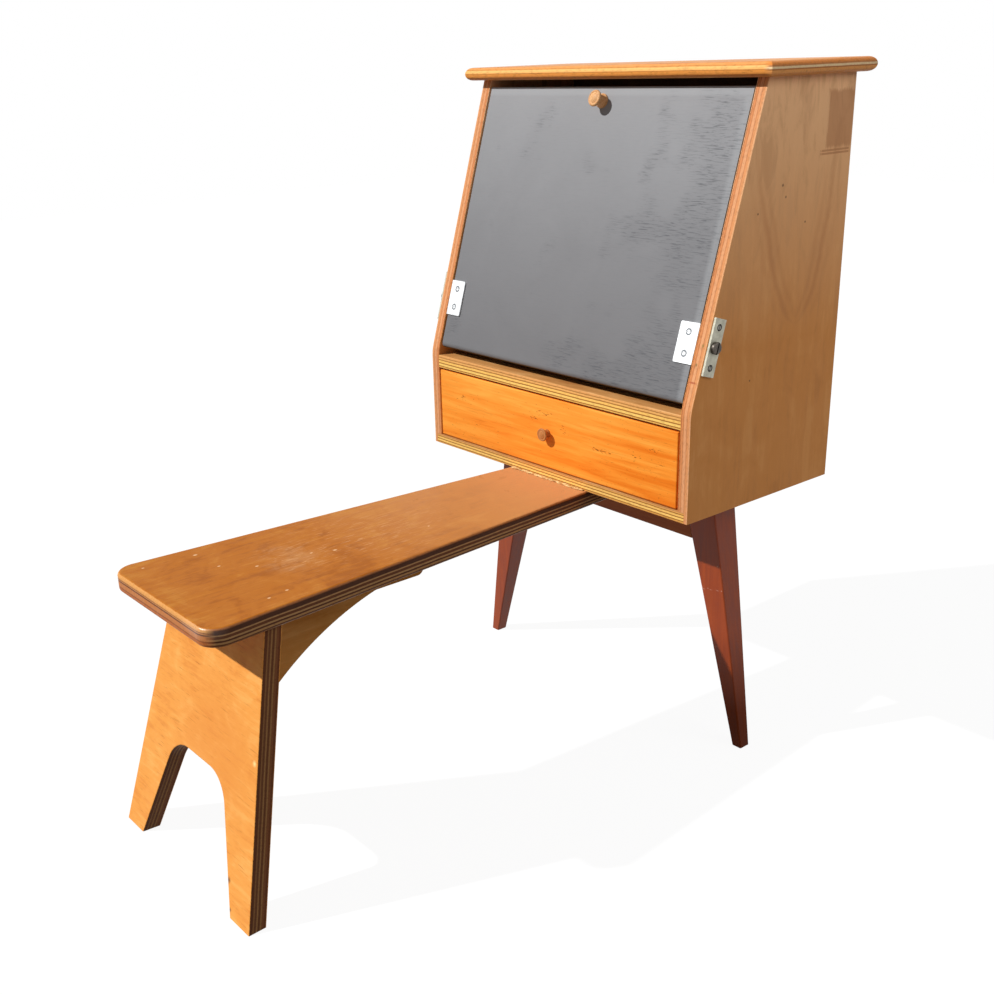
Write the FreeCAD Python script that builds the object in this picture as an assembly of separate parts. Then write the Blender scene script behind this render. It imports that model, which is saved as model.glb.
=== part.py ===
import FreeCAD, Part
import math
import os

# School desk: a plywood cabinet with a drop-front blackboard flap and a drawer. It stands on two
# splayed legs and is joined to a bench, whose seat runs in under the cabinet.
# Sizes are in millimetres, +Z is up, and the desk's front is towards -Y.
# Shapes are made in the cabinet's frame: y = 0 is the cabinet's front face, z = 0 is the floor.
# write_part moves them, so that the origin is on the floor under the middle of the whole desk.

# Fits
cut_overrun = 4.0            # how far a cutting shape runs past what it cuts
sliding_gap = 0.3            # between faces that move past each other
pin_clearance = 0.05         # radial, a bolt in the plate that it turns in
screw_clearance = 0.05       # radial, round screws and nails

# Cabinet
seat_height = 357.0          # the seat's top and the cabinet's underside are at this level
cabinet_width = 500.0
cabinet_depth = 280.0
carcase_height = 513.0       # from the cabinet's underside to the top board
knee_height = 141.0          # from the cabinet's underside to the bend in the front edge
slant_run = 113.0            # how far the slanted front leans back, up to the top board
knee_round = 60.0
side_thickness = 16.0
panel_edge_round = 1.2       # worn edges of plywood panels
bottom_thickness = 14.0
bottom_lip = 6.0             # strip of the side panel left outside the bottom board's rebate
drawer_bay_height = 103.0
shelf_thickness = 19.0
shelf_housing_depth = 5.0
shelf_housing_setback = 14.0  # the housing stops short of the front edge
back_thickness = 6.0
back_rebate_width = 8.0
top_thickness = 17.0
top_side_overhang = 18.0
top_front_overhang = 20.0
top_back_overhang = 15.0
top_nose_depth = 8.0         # how far in the top board's rounded edges begin

# Flap, measured along the slanted front edge from the knee, and behind that edge
flap_thickness = 16.0
flap_recess = 1.5
flap_lower_margin = 8.5
flap_upper_margin = 9.2
flap_edge_round = 1.2
flap_lower_round = 7.0
flap_bolt_clearance = 0.6    # radial, round the bolt's end inside the flap
flap_bolt_end_gap = 2.0

# Pivot: outer plate, bolt and angle bracket
pivot_along = 81.0
pivot_depth = 9.5            # from the flap's face to the pivot's axis
plate_length = 69.5
plate_width = 19.5
plate_thickness = 3.0
plate_screw_spacing = 48.4
bolt_radius = 3.0
bolt_head_radius = 7.5
bolt_head_height = 5.0
bolt_head_round = 1.8
bolt_slot_width = 2.0
bolt_slot_depth = 2.4
bolt_reach = 8.0             # into the flap's edge
bracket_length = 49.5
bracket_reach = 29.0         # across the flap's face
bracket_thickness = 2.0
bracket_side_gap = 1.0       # between the bracket and the side panel
bracket_leaf_setback = 1.5   # from the flap's back to the bracket's edge
bracket_corner_round = 2.2
bracket_screw_spacing = 26.0

# Stop cleats on the side panels, behind the flap
cleat_thickness = 15.0
cleat_length = 150.0
cleat_foot = 62.0
cleat_crown = 22.0
cleat_screw_shares = (0.25, 0.75)

# Screws and nails
small_head_radius = 4.3
small_shank_radius = 1.8
small_screw_length = 13.5
slot_width = 1.1
slot_depth = 1.0
long_head_radius = 4.6
long_shank_radius = 2.2
long_screw_tip = 5.0
long_screw_bite = 34.0       # into a leg
seat_screw_bite = 14.0
cleat_screw_bite = 11.0
nail_head_radius = 2.4
nail_head_height = 0.6
nail_shank_radius = 0.9
nail_length = 20.0
nail_corner_inset = 40.0

# Turned knobs, with the outline's heights as shares of the length and radii as shares of the head
flap_knob_inset = 18.6       # from the flap's upper end
flap_knob_offset = 6.5       # to the left of the flap's middle
flap_knob_length = 19.0
flap_knob_radius = 10.4
flap_knob_base_share = 0.88
drawer_knob_length = 12.0
drawer_knob_radius = 9.0
drawer_knob_base_share = 0.66
knob_neck_radius_share = 0.60
knob_lip_radius_share = 0.84
knob_ring_radius_shares = (0.80, 0.68, 0.56)
knob_collar_share = 0.16
knob_neck_share = 0.42
knob_lip_share = 0.68
knob_rim_share = 0.80
knob_face_share = 0.93
knob_groove_share = 0.03
knob_screw_share = 0.55      # of the knob's length, where its screw ends

# Drawer
drawer_side_gap = 2.5
drawer_rest_shift = 1.4      # the drawer lies this far to the left in its opening
drawer_top_gap = 3.0
drawer_recess = 1.0
drawer_front_thickness = 16.0
drawer_front_round = 1.5
drawer_lap = 8.0             # wood of the front left before the sides
drawer_side_thickness = 11.0
drawer_side_height = 84.0
drawer_back_thickness = 11.0
drawer_back_drop = 6.0       # the back is lower than the sides
drawer_back_gap = 1.0        # to the back panel, which stops the drawer
drawer_bottom_thickness = 4.0
drawer_bottom_lift = 7.0
drawer_groove_depth = 5.0

# Splayed legs and their rail
leg_top_spread = 409.0       # over the outer faces, under the cabinet
leg_foot_spread = 525.0      # over the outer faces, on the floor
leg_top_width = 52.0
leg_foot_width = 15.0
leg_top_depth = 44.0
leg_foot_depth = 18.0
leg_set_back = 124.0         # from the cabinet's front to the leg's middle
leg_edge_round = 2.0
leg_screw_spacing = 22.0
rail_height = 68.0
rail_thickness = 22.0
tenon_length = 22.0
tenon_thickness = 9.0
tenon_shoulder = 11.0

# Bench
seat_reach = 590.0           # from the cabinet's front to the seat's end
seat_front_width = 240.0
seat_desk_width = 153.0      # where the seat goes in under the cabinet
seat_thickness = 23.0
seat_corner_round = 25.0
seat_edge_round = 4.5
seat_screw_spacing = 50.0    # from front to back
seat_screw_inset = 28.0      # from the cabinet's front
seat_screw_side_inset = 26.0
end_leg_lean_deg = 14.15
end_leg_thickness = 22.0
end_leg_setback = 75.2       # from the seat's end to the leg's face, under the seat
end_leg_top_width = 208.0
end_leg_floor_width = 308.0
end_leg_housing = 6.0        # depth of the leg's housing in the seat
end_leg_edge_round = 1.2
arch_length = 150.0          # up the leg's face
arch_floor_width = 222.0
arch_top_width = 116.0
arch_round = 45.0
gusset_thickness = 20.0
gusset_depth = 179.0
gusset_foot = 34.0
gusset_reach = 265.0         # along the seat's underside
gusset_tail_height = 49.5
gusset_tail_length = 76.0
gusset_tail_round = 10.0
gusset_curve_rise = 19.0     # how deep the concave edge cuts in

# Levels and places worked out from the sizes above
half_width = cabinet_width / 2
inner_half = half_width - side_thickness
cabinet_top_z = seat_height + carcase_height
knee_z = seat_height + knee_height
slant_rise = cabinet_top_z - knee_z
slant_length = math.hypot(slant_run, slant_rise)
slant_deg = math.degrees(math.atan2(slant_run, slant_rise))
slant_sin = slant_run / slant_length
slant_cos = slant_rise / slant_length
bay_floor_z = seat_height + bottom_thickness
shelf_z = bay_floor_z + drawer_bay_height
shelf_top_z = shelf_z + shelf_thickness
inside_back_y = cabinet_depth - back_thickness
flap_half = inner_half - bracket_side_gap - bracket_thickness
flap_back = flap_recess + flap_thickness
flap_top_along = slant_length - flap_upper_margin
pivot_behind = flap_recess + pivot_depth
flap_knob_along = flap_top_along - flap_knob_inset
seat_underside_z = seat_height - seat_thickness
rail_low_z = seat_height - rail_height
end_leg_tan = math.tan(math.radians(end_leg_lean_deg))
end_leg_cos = math.cos(math.radians(end_leg_lean_deg))
end_leg_sin = math.sin(math.radians(end_leg_lean_deg))
end_leg_face_y = end_leg_setback - seat_reach
end_leg_floor_y = end_leg_face_y - seat_underside_z * end_leg_tan
cabinet_front_y = -(end_leg_floor_y + cabinet_depth + top_back_overhang) / 2
leg_front_lean = (leg_top_depth - leg_foot_depth) / 2 / seat_height
rail_front_y = leg_set_back - leg_top_depth / 2 + leg_front_lean * rail_height

Vector = FreeCAD.Vector
ORIGIN = Vector(0, 0, 0)
ACROSS = Vector(1, 0, 0)
BACKWARD = Vector(0, 1, 0)
UPWARD = Vector(0, 0, 1)
same_place = 0.01            # two points closer than this are one


def box(x_range, y_range, z_range):
    """Box between two x, two y and two z values."""
    low = Vector(x_range[0], y_range[0], z_range[0])
    size = Vector(x_range[1], y_range[1], z_range[1]) - low
    return Part.makeBox(size.x, size.y, size.z, low)


def prism(corners, travel):
    """Solid made by moving the outline through the corners along the vector travel."""
    return Part.Face(Part.makePolygon(corners + corners[:1])).extrude(travel)


def rod(radius, start, end):
    """Cylinder between two points."""
    return Part.makeCylinder(radius, (end - start).Length, start, end - start)


def edges_at(shape, x=None, y=None, z=None):
    """Edges that lie wholly at the given x, y and z values, where one is given."""
    def lies_there(edge):
        bounds = edge.BoundBox
        spans = ((x, bounds.XMin, bounds.XMax), (y, bounds.YMin, bounds.YMax),
                 (z, bounds.ZMin, bounds.ZMax))
        return all(wanted is None or max(abs(low - wanted), abs(high - wanted)) < same_place
                   for wanted, low, high in spans)
    return [edge for edge in shape.Edges if lies_there(edge)]


def soften(shape, radius, *places):
    """Round the edges that lie at the given places, each a dict of x, y and z values."""
    edges = []
    for place in places:
        edges += [edge for edge in edges_at(shape, **place) if not any(edge.isSame(kept) for kept in edges)]
    return shape.makeFillet(radius, edges)


def lean(shape, degrees, y, z):
    """Lean an upright shape back about the x axis, then stand it at y and z."""
    shape.rotate(ORIGIN, ACROSS, -degrees)
    shape.translate(Vector(0, y, z))
    return shape


def on_slant(shape):
    """Bring a shape from the flap's frame, y behind and z along the slanted edge, to the cabinet's."""
    return lean(shape, slant_deg, 0, knee_z)


def slant_point(along, behind):
    """The y and z of a point given along and behind the slanted front edge."""
    return along * slant_sin + behind * slant_cos, knee_z + along * slant_cos - behind * slant_sin


def other_side(shape):
    """The mirror image on the desk's left."""
    return shape.mirror(ORIGIN, ACROSS)


def both_sides(solids):
    """One group of the right-hand solids and their mirror images."""
    return Part.makeCompound(list(solids) + [other_side(solid) for solid in solids])


def aim(shape, place, direction):
    """Turn a fastener that points down so that it points along direction, and put its head at place."""
    shape.Placement = FreeCAD.Placement(place, FreeCAD.Rotation(-UPWARD, direction))
    return shape


def turned(outline, axis_top):
    """Solid of revolution about z: the outline is a list of edges in the x-z plane."""
    closing = Part.LineSegment(axis_top, outline[0].Vertexes[0].Point).toShape()
    return Part.Face(Part.Wire(outline + [closing])).revolve(ORIGIN, UPWARD)


def lathe_point(radius, height):
    return Vector(radius, 0, height)


def screw(head_radius, shank_radius, length, tip):
    """Slotted countersunk screw that points down, with its head's face at z = 0."""
    head_depth = head_radius - shank_radius
    points = [lathe_point(0, -length), lathe_point(shank_radius, tip - length),
              lathe_point(shank_radius, -head_depth), lathe_point(head_radius, 0), ORIGIN]
    edges = [Part.makeLine(start, end) for start, end in zip(points, points[1:])]
    slot = box((-head_radius, head_radius), (-slot_width / 2, slot_width / 2), (-slot_depth, slot_depth))
    return turned(edges, ORIGIN).cut(slot)


def screw_hole(head_radius, shank_radius, length):
    """The countersunk hole that a screw of that size sits in."""
    head_depth = head_radius - shank_radius
    wide, narrow = head_radius + screw_clearance, shank_radius + screw_clearance
    sink = Part.makeCone(narrow, wide, head_depth, Vector(0, 0, -head_depth))
    mouth = Part.makeCylinder(wide, cut_overrun)
    shank = Part.makeCylinder(narrow, length + screw_clearance, ORIGIN, -UPWARD)
    return shank.fuse([sink, mouth])


def small_screw():
    return screw(small_head_radius, small_shank_radius, small_screw_length, small_shank_radius)


def small_screw_hole():
    return screw_hole(small_head_radius, small_shank_radius, small_screw_length)


def long_screw(length):
    return screw(long_head_radius, long_shank_radius, length, long_screw_tip)


def long_screw_hole(length):
    return screw_hole(long_head_radius, long_shank_radius, length)


def nail():
    """Round nail that points down, with the head's underside at z = 0."""
    head = Part.makeCylinder(nail_head_radius, nail_head_height)
    shank = Part.makeCylinder(nail_shank_radius, nail_length, ORIGIN, -UPWARD)
    return head.fuse(shank).removeSplitter()


def nail_hole():
    radius = nail_shank_radius + screw_clearance
    return Part.makeCylinder(radius, nail_length + screw_clearance, ORIGIN, -UPWARD)


# Each group below places its fasteners, or the holes that take them, on the desk's right-hand side.

def plate_screws(make):
    """Two screws through the outer plate into the side panel."""
    face_x = half_width + plate_thickness
    return [on_slant_placed(make(), Vector(face_x, pivot_behind, pivot_along + offset), -ACROSS)
            for offset in (-plate_screw_spacing / 2, plate_screw_spacing / 2)]


def bracket_screws(make):
    """Two screws through the bracket into the flap's face."""
    x = flap_half + bracket_thickness - bracket_reach / 2
    face = flap_recess - bracket_thickness
    return [on_slant_placed(make(), Vector(x, face, pivot_along + offset), BACKWARD)
            for offset in (-bracket_screw_spacing / 2, bracket_screw_spacing / 2)]


def on_slant_placed(shape, place, direction):
    return on_slant(aim(shape, place, direction))


def cleat_screws(make):
    """Two screws through the cleat into the side panel, up the middle of the cleat."""
    front_y, foot_z = cleat_corner()
    x = inner_half - cleat_thickness
    screws = []
    for share in cleat_screw_shares:
        z = foot_z + share * cleat_length * slant_cos
        depth = cleat_foot + share * (cleat_length * slant_sin + cleat_crown - cleat_foot)
        y = front_y + (share * cleat_length * slant_sin + depth) / 2
        screws.append(aim(make(cleat_thickness + cleat_screw_bite), Vector(x, y, z), ACROSS))
    return screws


def leg_screws(make):
    """Two screws down through the bottom board into the leg's top, clear of the rail's tenon."""
    x = (tenon_end_x + leg_top_spread / 2) / 2
    length = bottom_thickness + long_screw_bite
    return [aim(make(length), Vector(x, leg_set_back + offset, bay_floor_z), -UPWARD)
            for offset in (-leg_screw_spacing / 2, leg_screw_spacing / 2)]


def seat_screws(make):
    """Two screws down through the bottom board into the seat."""
    x = seat_desk_width / 2 - seat_screw_side_inset
    length = bottom_thickness + seat_screw_bite
    return [aim(make(length), Vector(x, seat_screw_inset + offset, bay_floor_z), -UPWARD)
            for offset in (0, seat_screw_spacing)]


def side_nails(make):
    """Four nails through the back panel into the side panel."""
    x = inner_half + back_rebate_width / 2
    low, high = seat_height + nail_corner_inset, cabinet_top_z - nail_corner_inset
    levels = [low + (high - low) * step / 3 for step in range(4)]
    return [aim(make(), Vector(x, cabinet_depth, z), -BACKWARD) for z in levels]


def board_nails(make):
    """Nails through the back panel into the bottom board and the shelf, one on the middle line."""
    levels = (seat_height + bottom_thickness / 2, shelf_z + shelf_thickness / 2)
    middle = [aim(make(), Vector(0, cabinet_depth, z), -BACKWARD) for z in levels]
    outer = [aim(make(), Vector(inner_half / 2, cabinet_depth, z), -BACKWARD) for z in levels]
    return middle + outer + [other_side(solid) for solid in outer]


def pivot_bolt():
    """Right-hand bolt with a slotted head outside the plate and a plain end inside the flap's edge."""
    seat_x = half_width + plate_thickness
    centre = Vector(seat_x, pivot_behind, pivot_along)
    head = rod(bolt_head_radius, centre, centre + ACROSS * bolt_head_height)
    head = soften(head, bolt_head_round, {"x": seat_x + bolt_head_height})
    slot = box((seat_x + bolt_head_height - bolt_slot_depth, seat_x + bolt_head_height + cut_overrun),
               (pivot_behind - bolt_slot_width / 2, pivot_behind + bolt_slot_width / 2),
               (pivot_along - bolt_head_radius, pivot_along + bolt_head_radius))
    shank = rod(bolt_radius, Vector(flap_half - bolt_reach, pivot_behind, pivot_along), centre)
    return on_slant(head.cut(slot).fuse(shank).removeSplitter())


def bolt_hole(clearance, end_gap=0):
    """Room for the right-hand bolt's shank, from inside the flap's edge to outside the plate."""
    start = Vector(flap_half - bolt_reach - end_gap, pivot_behind, pivot_along)
    end = Vector(half_width + plate_thickness + cut_overrun, pivot_behind, pivot_along)
    return on_slant(rod(bolt_radius + clearance, start, end))


def pivot_plate():
    """Right-hand outer plate, set flush with the slanted front edge's line."""
    plate = box((half_width, half_width + plate_thickness),
                (pivot_behind - plate_width / 2, pivot_behind + plate_width / 2),
                (pivot_along - plate_length / 2, pivot_along + plate_length / 2))
    return on_slant(plate).cut([bolt_hole(pin_clearance)] + plate_screws(small_screw_hole))


def flap_bracket():
    """Right-hand angle bracket: one leaf on the flap's face, one on its edge round the bolt."""
    low, high = pivot_along - bracket_length / 2, pivot_along + bracket_length / 2
    outer_x, face = flap_half + bracket_thickness, flap_recess - bracket_thickness
    inner_x = outer_x - bracket_reach
    front_leaf = box((inner_x, outer_x), (face, flap_recess), (low, high))
    front_leaf = soften(front_leaf, bracket_corner_round,
                        {"x": inner_x, "z": low}, {"x": inner_x, "z": high})
    edge_leaf = box((flap_half, outer_x), (face, flap_back - bracket_leaf_setback), (low, high))
    bracket = front_leaf.fuse(edge_leaf).removeSplitter()
    bracket = soften(bracket, bracket_thickness / 2, {"x": outer_x, "y": face})
    return on_slant(bracket).cut([bolt_hole(pin_clearance)] + bracket_screws(small_screw_hole))


def cleat_corner():
    """The y and z of the cleat's lower front corner: just clear of the flap, shut and open."""
    behind = flap_back + sliding_gap
    z = slant_point(pivot_along, pivot_behind)[1] + flap_back - pivot_behind + sliding_gap
    along = (z - knee_z + behind * slant_sin) / slant_cos
    return slant_point(along, behind)[0], z


def stop_cleat():
    """Right-hand cleat: its slanted edge stops the shut flap, its level foot stops the open one."""
    y, z = cleat_corner()
    crown_y, crown_z = y + cleat_length * slant_sin, z + cleat_length * slant_cos
    outline = ((y, z), (crown_y, crown_z), (crown_y + cleat_crown, crown_z), (y + cleat_foot, z))
    x = inner_half - cleat_thickness
    cleat = prism([Vector(x, *point) for point in outline], ACROSS * cleat_thickness)
    return cleat.cut(cleat_screws(long_screw_hole))


def side_panel():
    """Right-hand side panel, rebated for the bottom board and the back, and housed for the shelf."""
    outline = ((0, seat_height), (0, knee_z), (slant_run, cabinet_top_z),
               (cabinet_depth, cabinet_top_z), (cabinet_depth, seat_height))
    panel = prism([Vector(inner_half, *point) for point in outline], ACROSS * side_thickness)
    panel = panel.makeFillet(knee_round, edges_at(panel, y=0, z=knee_z))
    outer_edges = edges_at(panel, x=half_width)
    front = [edge for edge in outer_edges if edge.BoundBox.YMax < slant_run + same_place]
    panel = panel.makeFillet(panel_edge_round, front)
    inside, below = inner_half - cut_overrun, seat_height - cut_overrun
    past_front, past_back = -cut_overrun, cabinet_depth + cut_overrun
    bottom_rebate = box((inside, half_width - bottom_lip), (past_front, past_back), (below, bay_floor_z))
    back_rebate = box((inside, inner_half + back_rebate_width), (inside_back_y, past_back),
                      (below, cabinet_top_z + cut_overrun))
    housing = box((inside, inner_half + shelf_housing_depth),
                  (shelf_housing_setback, inside_back_y + cut_overrun), (shelf_z, shelf_top_z))
    holes = plate_screws(small_screw_hole) + cleat_screws(long_screw_hole) + side_nails(nail_hole)
    return panel.cut([bottom_rebate, back_rebate, housing, bolt_hole(pin_clearance)] + holes)


def nosed_strip(start, end, travel):
    """Board from start to end, two points on its middle plane, with a round nose at both ends."""
    half = UPWARD * (top_thickness / 2)
    nose = (end - start).normalize() * top_nose_depth
    near, far = start + nose, end - nose
    underside = Part.makeLine(near - half, far - half)
    far_nose = Part.Arc(far - half, end, far + half).toShape()
    upper_side = Part.makeLine(far + half, near + half)
    near_nose = Part.Arc(near + half, start, near - half).toShape()
    return Part.Face(Part.Wire([underside, far_nose, upper_side, near_nose])).extrude(travel)


def top_board():
    """Top board with a nose on all four edges, so that they meet in mitred corners."""
    side, middle_z = half_width + top_side_overhang, cabinet_top_z + top_thickness / 2
    front, back = slant_run - top_front_overhang, cabinet_depth + top_back_overhang
    left_front = Vector(-side, front, middle_z)
    lengthwise = nosed_strip(left_front, Vector(side, front, middle_z), BACKWARD * (back - front))
    crosswise = nosed_strip(left_front, Vector(-side, back, middle_z), ACROSS * (2 * side))
    return lengthwise.common(crosswise).removeSplitter()


def bottom_board():
    """Bottom board, let into the side panels' rebates, with holes for the screws below it."""
    end_x = half_width - bottom_lip
    board = box((-end_x, end_x), (0, inside_back_y), (seat_height, bay_floor_z))
    holes = leg_screws(long_screw_hole) + seat_screws(long_screw_hole)
    return board.cut(holes + [other_side(hole) for hole in holes] + board_nails(nail_hole))


def middle_shelf():
    """Shelf over the drawer, notched at the front so that its housings don't show."""
    board = box((-inner_half, inner_half), (0, inside_back_y), (shelf_z, shelf_top_z))
    board = soften(board, panel_edge_round, {"y": 0, "z": shelf_z}, {"y": 0, "z": shelf_top_z})
    housed = inner_half + shelf_housing_depth
    tongues = box((-housed, housed), (shelf_housing_setback, inside_back_y), (shelf_z, shelf_top_z))
    return board.fuse(tongues).removeSplitter().cut(board_nails(nail_hole))


def back_panel():
    """Thin back in the side panels' rebates, over the ends of the bottom board and the shelf."""
    end_x = inner_half + back_rebate_width
    panel = box((-end_x, end_x), (inside_back_y, cabinet_depth), (seat_height, cabinet_top_z))
    holes = side_nails(nail_hole)
    return panel.cut(holes + [other_side(hole) for hole in holes] + board_nails(nail_hole))


def flap_knob_place(behind):
    return Vector(-flap_knob_offset, behind, flap_knob_along)


def flap_screw_length():
    return flap_thickness + flap_knob_length * knob_screw_share


def flap_board():
    """Blackboard flap, rounded at its lower edge, which swings in over the shelf."""
    low, high = flap_lower_margin, flap_top_along
    board = box((-flap_half, flap_half), (flap_recess, flap_back), (low, high))
    board = soften(board, flap_lower_round, {"y": flap_recess, "z": low})
    board = soften(board, flap_edge_round, {"y": flap_recess, "z": high}, {"y": flap_back, "z": high},
                   {"y": flap_back, "z": low})
    knob_hole = aim(long_screw_hole(flap_screw_length()), flap_knob_place(flap_back), -BACKWARD)
    edge_holes = [bolt_hole(flap_bolt_clearance, flap_bolt_end_gap)] + bracket_screws(small_screw_hole)
    return on_slant(board.cut(knob_hole)).cut(edge_holes + [other_side(hole) for hole in edge_holes])


def knob(length, radius, base_share):
    """Turned knob on z: collar, hollow neck and a round-edged head with a ring cut in its face."""
    base, neck, lip = (radius * share for share in
                       (base_share, knob_neck_radius_share, knob_lip_radius_share))
    ring_out, ring_mid, ring_in = (radius * share for share in knob_ring_radius_shares)
    collar_h, neck_h, lip_h, rim_h, face_h = (length * share for share in (
        knob_collar_share, knob_neck_share, knob_lip_share, knob_rim_share, knob_face_share))
    groove_h = face_h - length * knob_groove_share
    dome = (ring_in ** 2 + (length - face_h) ** 2) / (length - face_h) / 2
    dome_mid_h = length - dome + math.sqrt(dome ** 2 - (ring_in / 2) ** 2)
    foot, collar_foot, collar = ORIGIN, lathe_point(base, 0), lathe_point(base, collar_h)
    lip_point, ring_start = lathe_point(lip, lip_h), lathe_point(ring_out, face_h)
    ring_end, crown = lathe_point(ring_in, face_h), lathe_point(0, length)
    outline = [
        Part.makeLine(foot, collar_foot),
        Part.makeLine(collar_foot, collar),
        Part.Arc(collar, lathe_point(neck, neck_h), lip_point).toShape(),
        Part.Arc(lip_point, lathe_point(radius, rim_h), ring_start).toShape(),
        Part.Arc(ring_start, lathe_point(ring_mid, groove_h), ring_end).toShape(),
        Part.Arc(ring_end, lathe_point(ring_in / 2, dome_mid_h), crown).toShape(),
    ]
    bore_depth = length * knob_screw_share + screw_clearance
    bore = Part.makeCylinder(long_shank_radius + screw_clearance, bore_depth)
    return turned(outline, crown).cut(bore)


def flap_knob():
    shape = knob(flap_knob_length, flap_knob_radius, flap_knob_base_share)
    shape.rotate(ORIGIN, ACROSS, 90)
    shape.translate(flap_knob_place(flap_recess))
    return on_slant(shape)


def flap_knob_screw():
    return on_slant_placed(long_screw(flap_screw_length()), flap_knob_place(flap_back), -BACKWARD)


# Drawer: its parts share these faces

drawer_half = inner_half - drawer_side_gap
drawer_inner_half = drawer_half - drawer_side_thickness
drawer_low_z = bay_floor_z + sliding_gap
drawer_top_z = shelf_z - drawer_top_gap
drawer_front_back_y = drawer_recess + drawer_front_thickness
drawer_side_front_y = drawer_recess + drawer_lap
drawer_end_y = inside_back_y - drawer_back_gap
drawer_panel_z = drawer_low_z + drawer_bottom_lift
drawer_panel_top_z = drawer_panel_z + drawer_bottom_thickness
drawer_side_top_z = drawer_low_z + drawer_side_height
drawer_knob_z = (drawer_low_z + drawer_top_z) / 2
drawer_screw_length = drawer_front_thickness + drawer_knob_length * knob_screw_share


def drawer_bottom():
    """Thin bottom in grooves of the front and sides, run out under the back."""
    edge_x = drawer_inner_half + drawer_groove_depth
    return box((-edge_x, edge_x), (drawer_front_back_y - drawer_groove_depth, drawer_end_y),
               (drawer_panel_z, drawer_panel_top_z))


def drawer_side():
    """Right-hand drawer side, lapped into the front."""
    side = box((drawer_inner_half, drawer_half), (drawer_side_front_y, drawer_end_y),
               (drawer_low_z, drawer_side_top_z))
    return side.cut(drawer_bottom())


def drawer_front():
    """Solid front with eased edges, lapped over the sides and grooved for the bottom."""
    front = box((-drawer_half, drawer_half), (drawer_recess, drawer_front_back_y),
                (drawer_low_z, drawer_top_z))
    front = soften(front, drawer_front_round, {"y": drawer_recess})
    screw_mouth = Vector(0, drawer_front_back_y, drawer_knob_z)
    knob_hole = aim(long_screw_hole(drawer_screw_length), screw_mouth, -BACKWARD)
    laps = box((drawer_inner_half, drawer_half + cut_overrun),
               (drawer_side_front_y, drawer_front_back_y + cut_overrun),
               (drawer_low_z - cut_overrun, drawer_side_top_z))
    return front.cut([laps, other_side(laps), drawer_bottom(), knob_hole])


def drawer_back():
    """Back between the sides, standing on the bottom."""
    return box((-drawer_inner_half, drawer_inner_half),
               (drawer_end_y - drawer_back_thickness, drawer_end_y),
               (drawer_panel_top_z, drawer_side_top_z - drawer_back_drop))


def drawer_knob():
    shape = knob(drawer_knob_length, drawer_knob_radius, drawer_knob_base_share)
    shape.rotate(ORIGIN, ACROSS, 90)
    shape.translate(Vector(0, drawer_recess, drawer_knob_z))
    return shape


def drawer_knob_screw():
    return aim(long_screw(drawer_screw_length), Vector(0, drawer_front_back_y, drawer_knob_z), -BACKWARD)


# Legs, rail and bench

def leg_inner_x(z):
    """Where the right leg's inner face is at a height z."""
    top, foot = leg_top_spread / 2 - leg_top_width, leg_foot_spread / 2 - leg_foot_width
    return foot + (top - foot) * z / seat_height


tenon_end_x = leg_inner_x((seat_height + rail_low_z) / 2) + tenon_length


def rail_tenon():
    """Right-hand tenon of the rail, started well inside the rail."""
    middle_y = rail_front_y + rail_thickness / 2
    return box((leg_inner_x(seat_height) - tenon_length, tenon_end_x),
               (middle_y - tenon_thickness / 2, middle_y + tenon_thickness / 2),
               (rail_low_z + tenon_shoulder, seat_height - tenon_shoulder))


def splayed_leg():
    """Right-hand leg, tapered both ways and splayed outwards, mortised for the rail."""
    def section(outer_x, width, depth, z):
        front, back = leg_set_back - depth / 2, leg_set_back + depth / 2
        return [Vector(outer_x - width, front, z), Vector(outer_x, front, z),
                Vector(outer_x, back, z), Vector(outer_x - width, back, z)]
    foot = section(leg_foot_spread / 2, leg_foot_width, leg_foot_depth, 0)
    top = section(leg_top_spread / 2, leg_top_width, leg_top_depth, seat_height)
    outlines = [foot[::-1], top]
    for corner in range(4):
        following = (corner + 1) % 4
        outlines.append([foot[corner], foot[following], top[following], top[corner]])
    faces = [Part.Face(Part.makePolygon(outline + outline[:1])) for outline in outlines]
    leg = Part.Solid(Part.Shell(faces))
    long_edges = [edge for edge in leg.Edges if edge.BoundBox.ZLength > same_place]
    leg = leg.makeFillet(leg_edge_round, long_edges)
    return leg.cut([rail_tenon()] + leg_screws(long_screw_hole))


def leg_rail():
    """Rail between the legs, right under the cabinet, its ends cut to the legs' splay."""
    top_x, low_x = leg_inner_x(seat_height), leg_inner_x(rail_low_z)
    outline = ((-low_x, rail_low_z), (low_x, rail_low_z), (top_x, seat_height), (-top_x, seat_height))
    rail = prism([Vector(x, rail_front_y, z) for x, z in outline], BACKWARD * rail_thickness)
    return rail.fuse([rail_tenon(), other_side(rail_tenon())]).removeSplitter()


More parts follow.
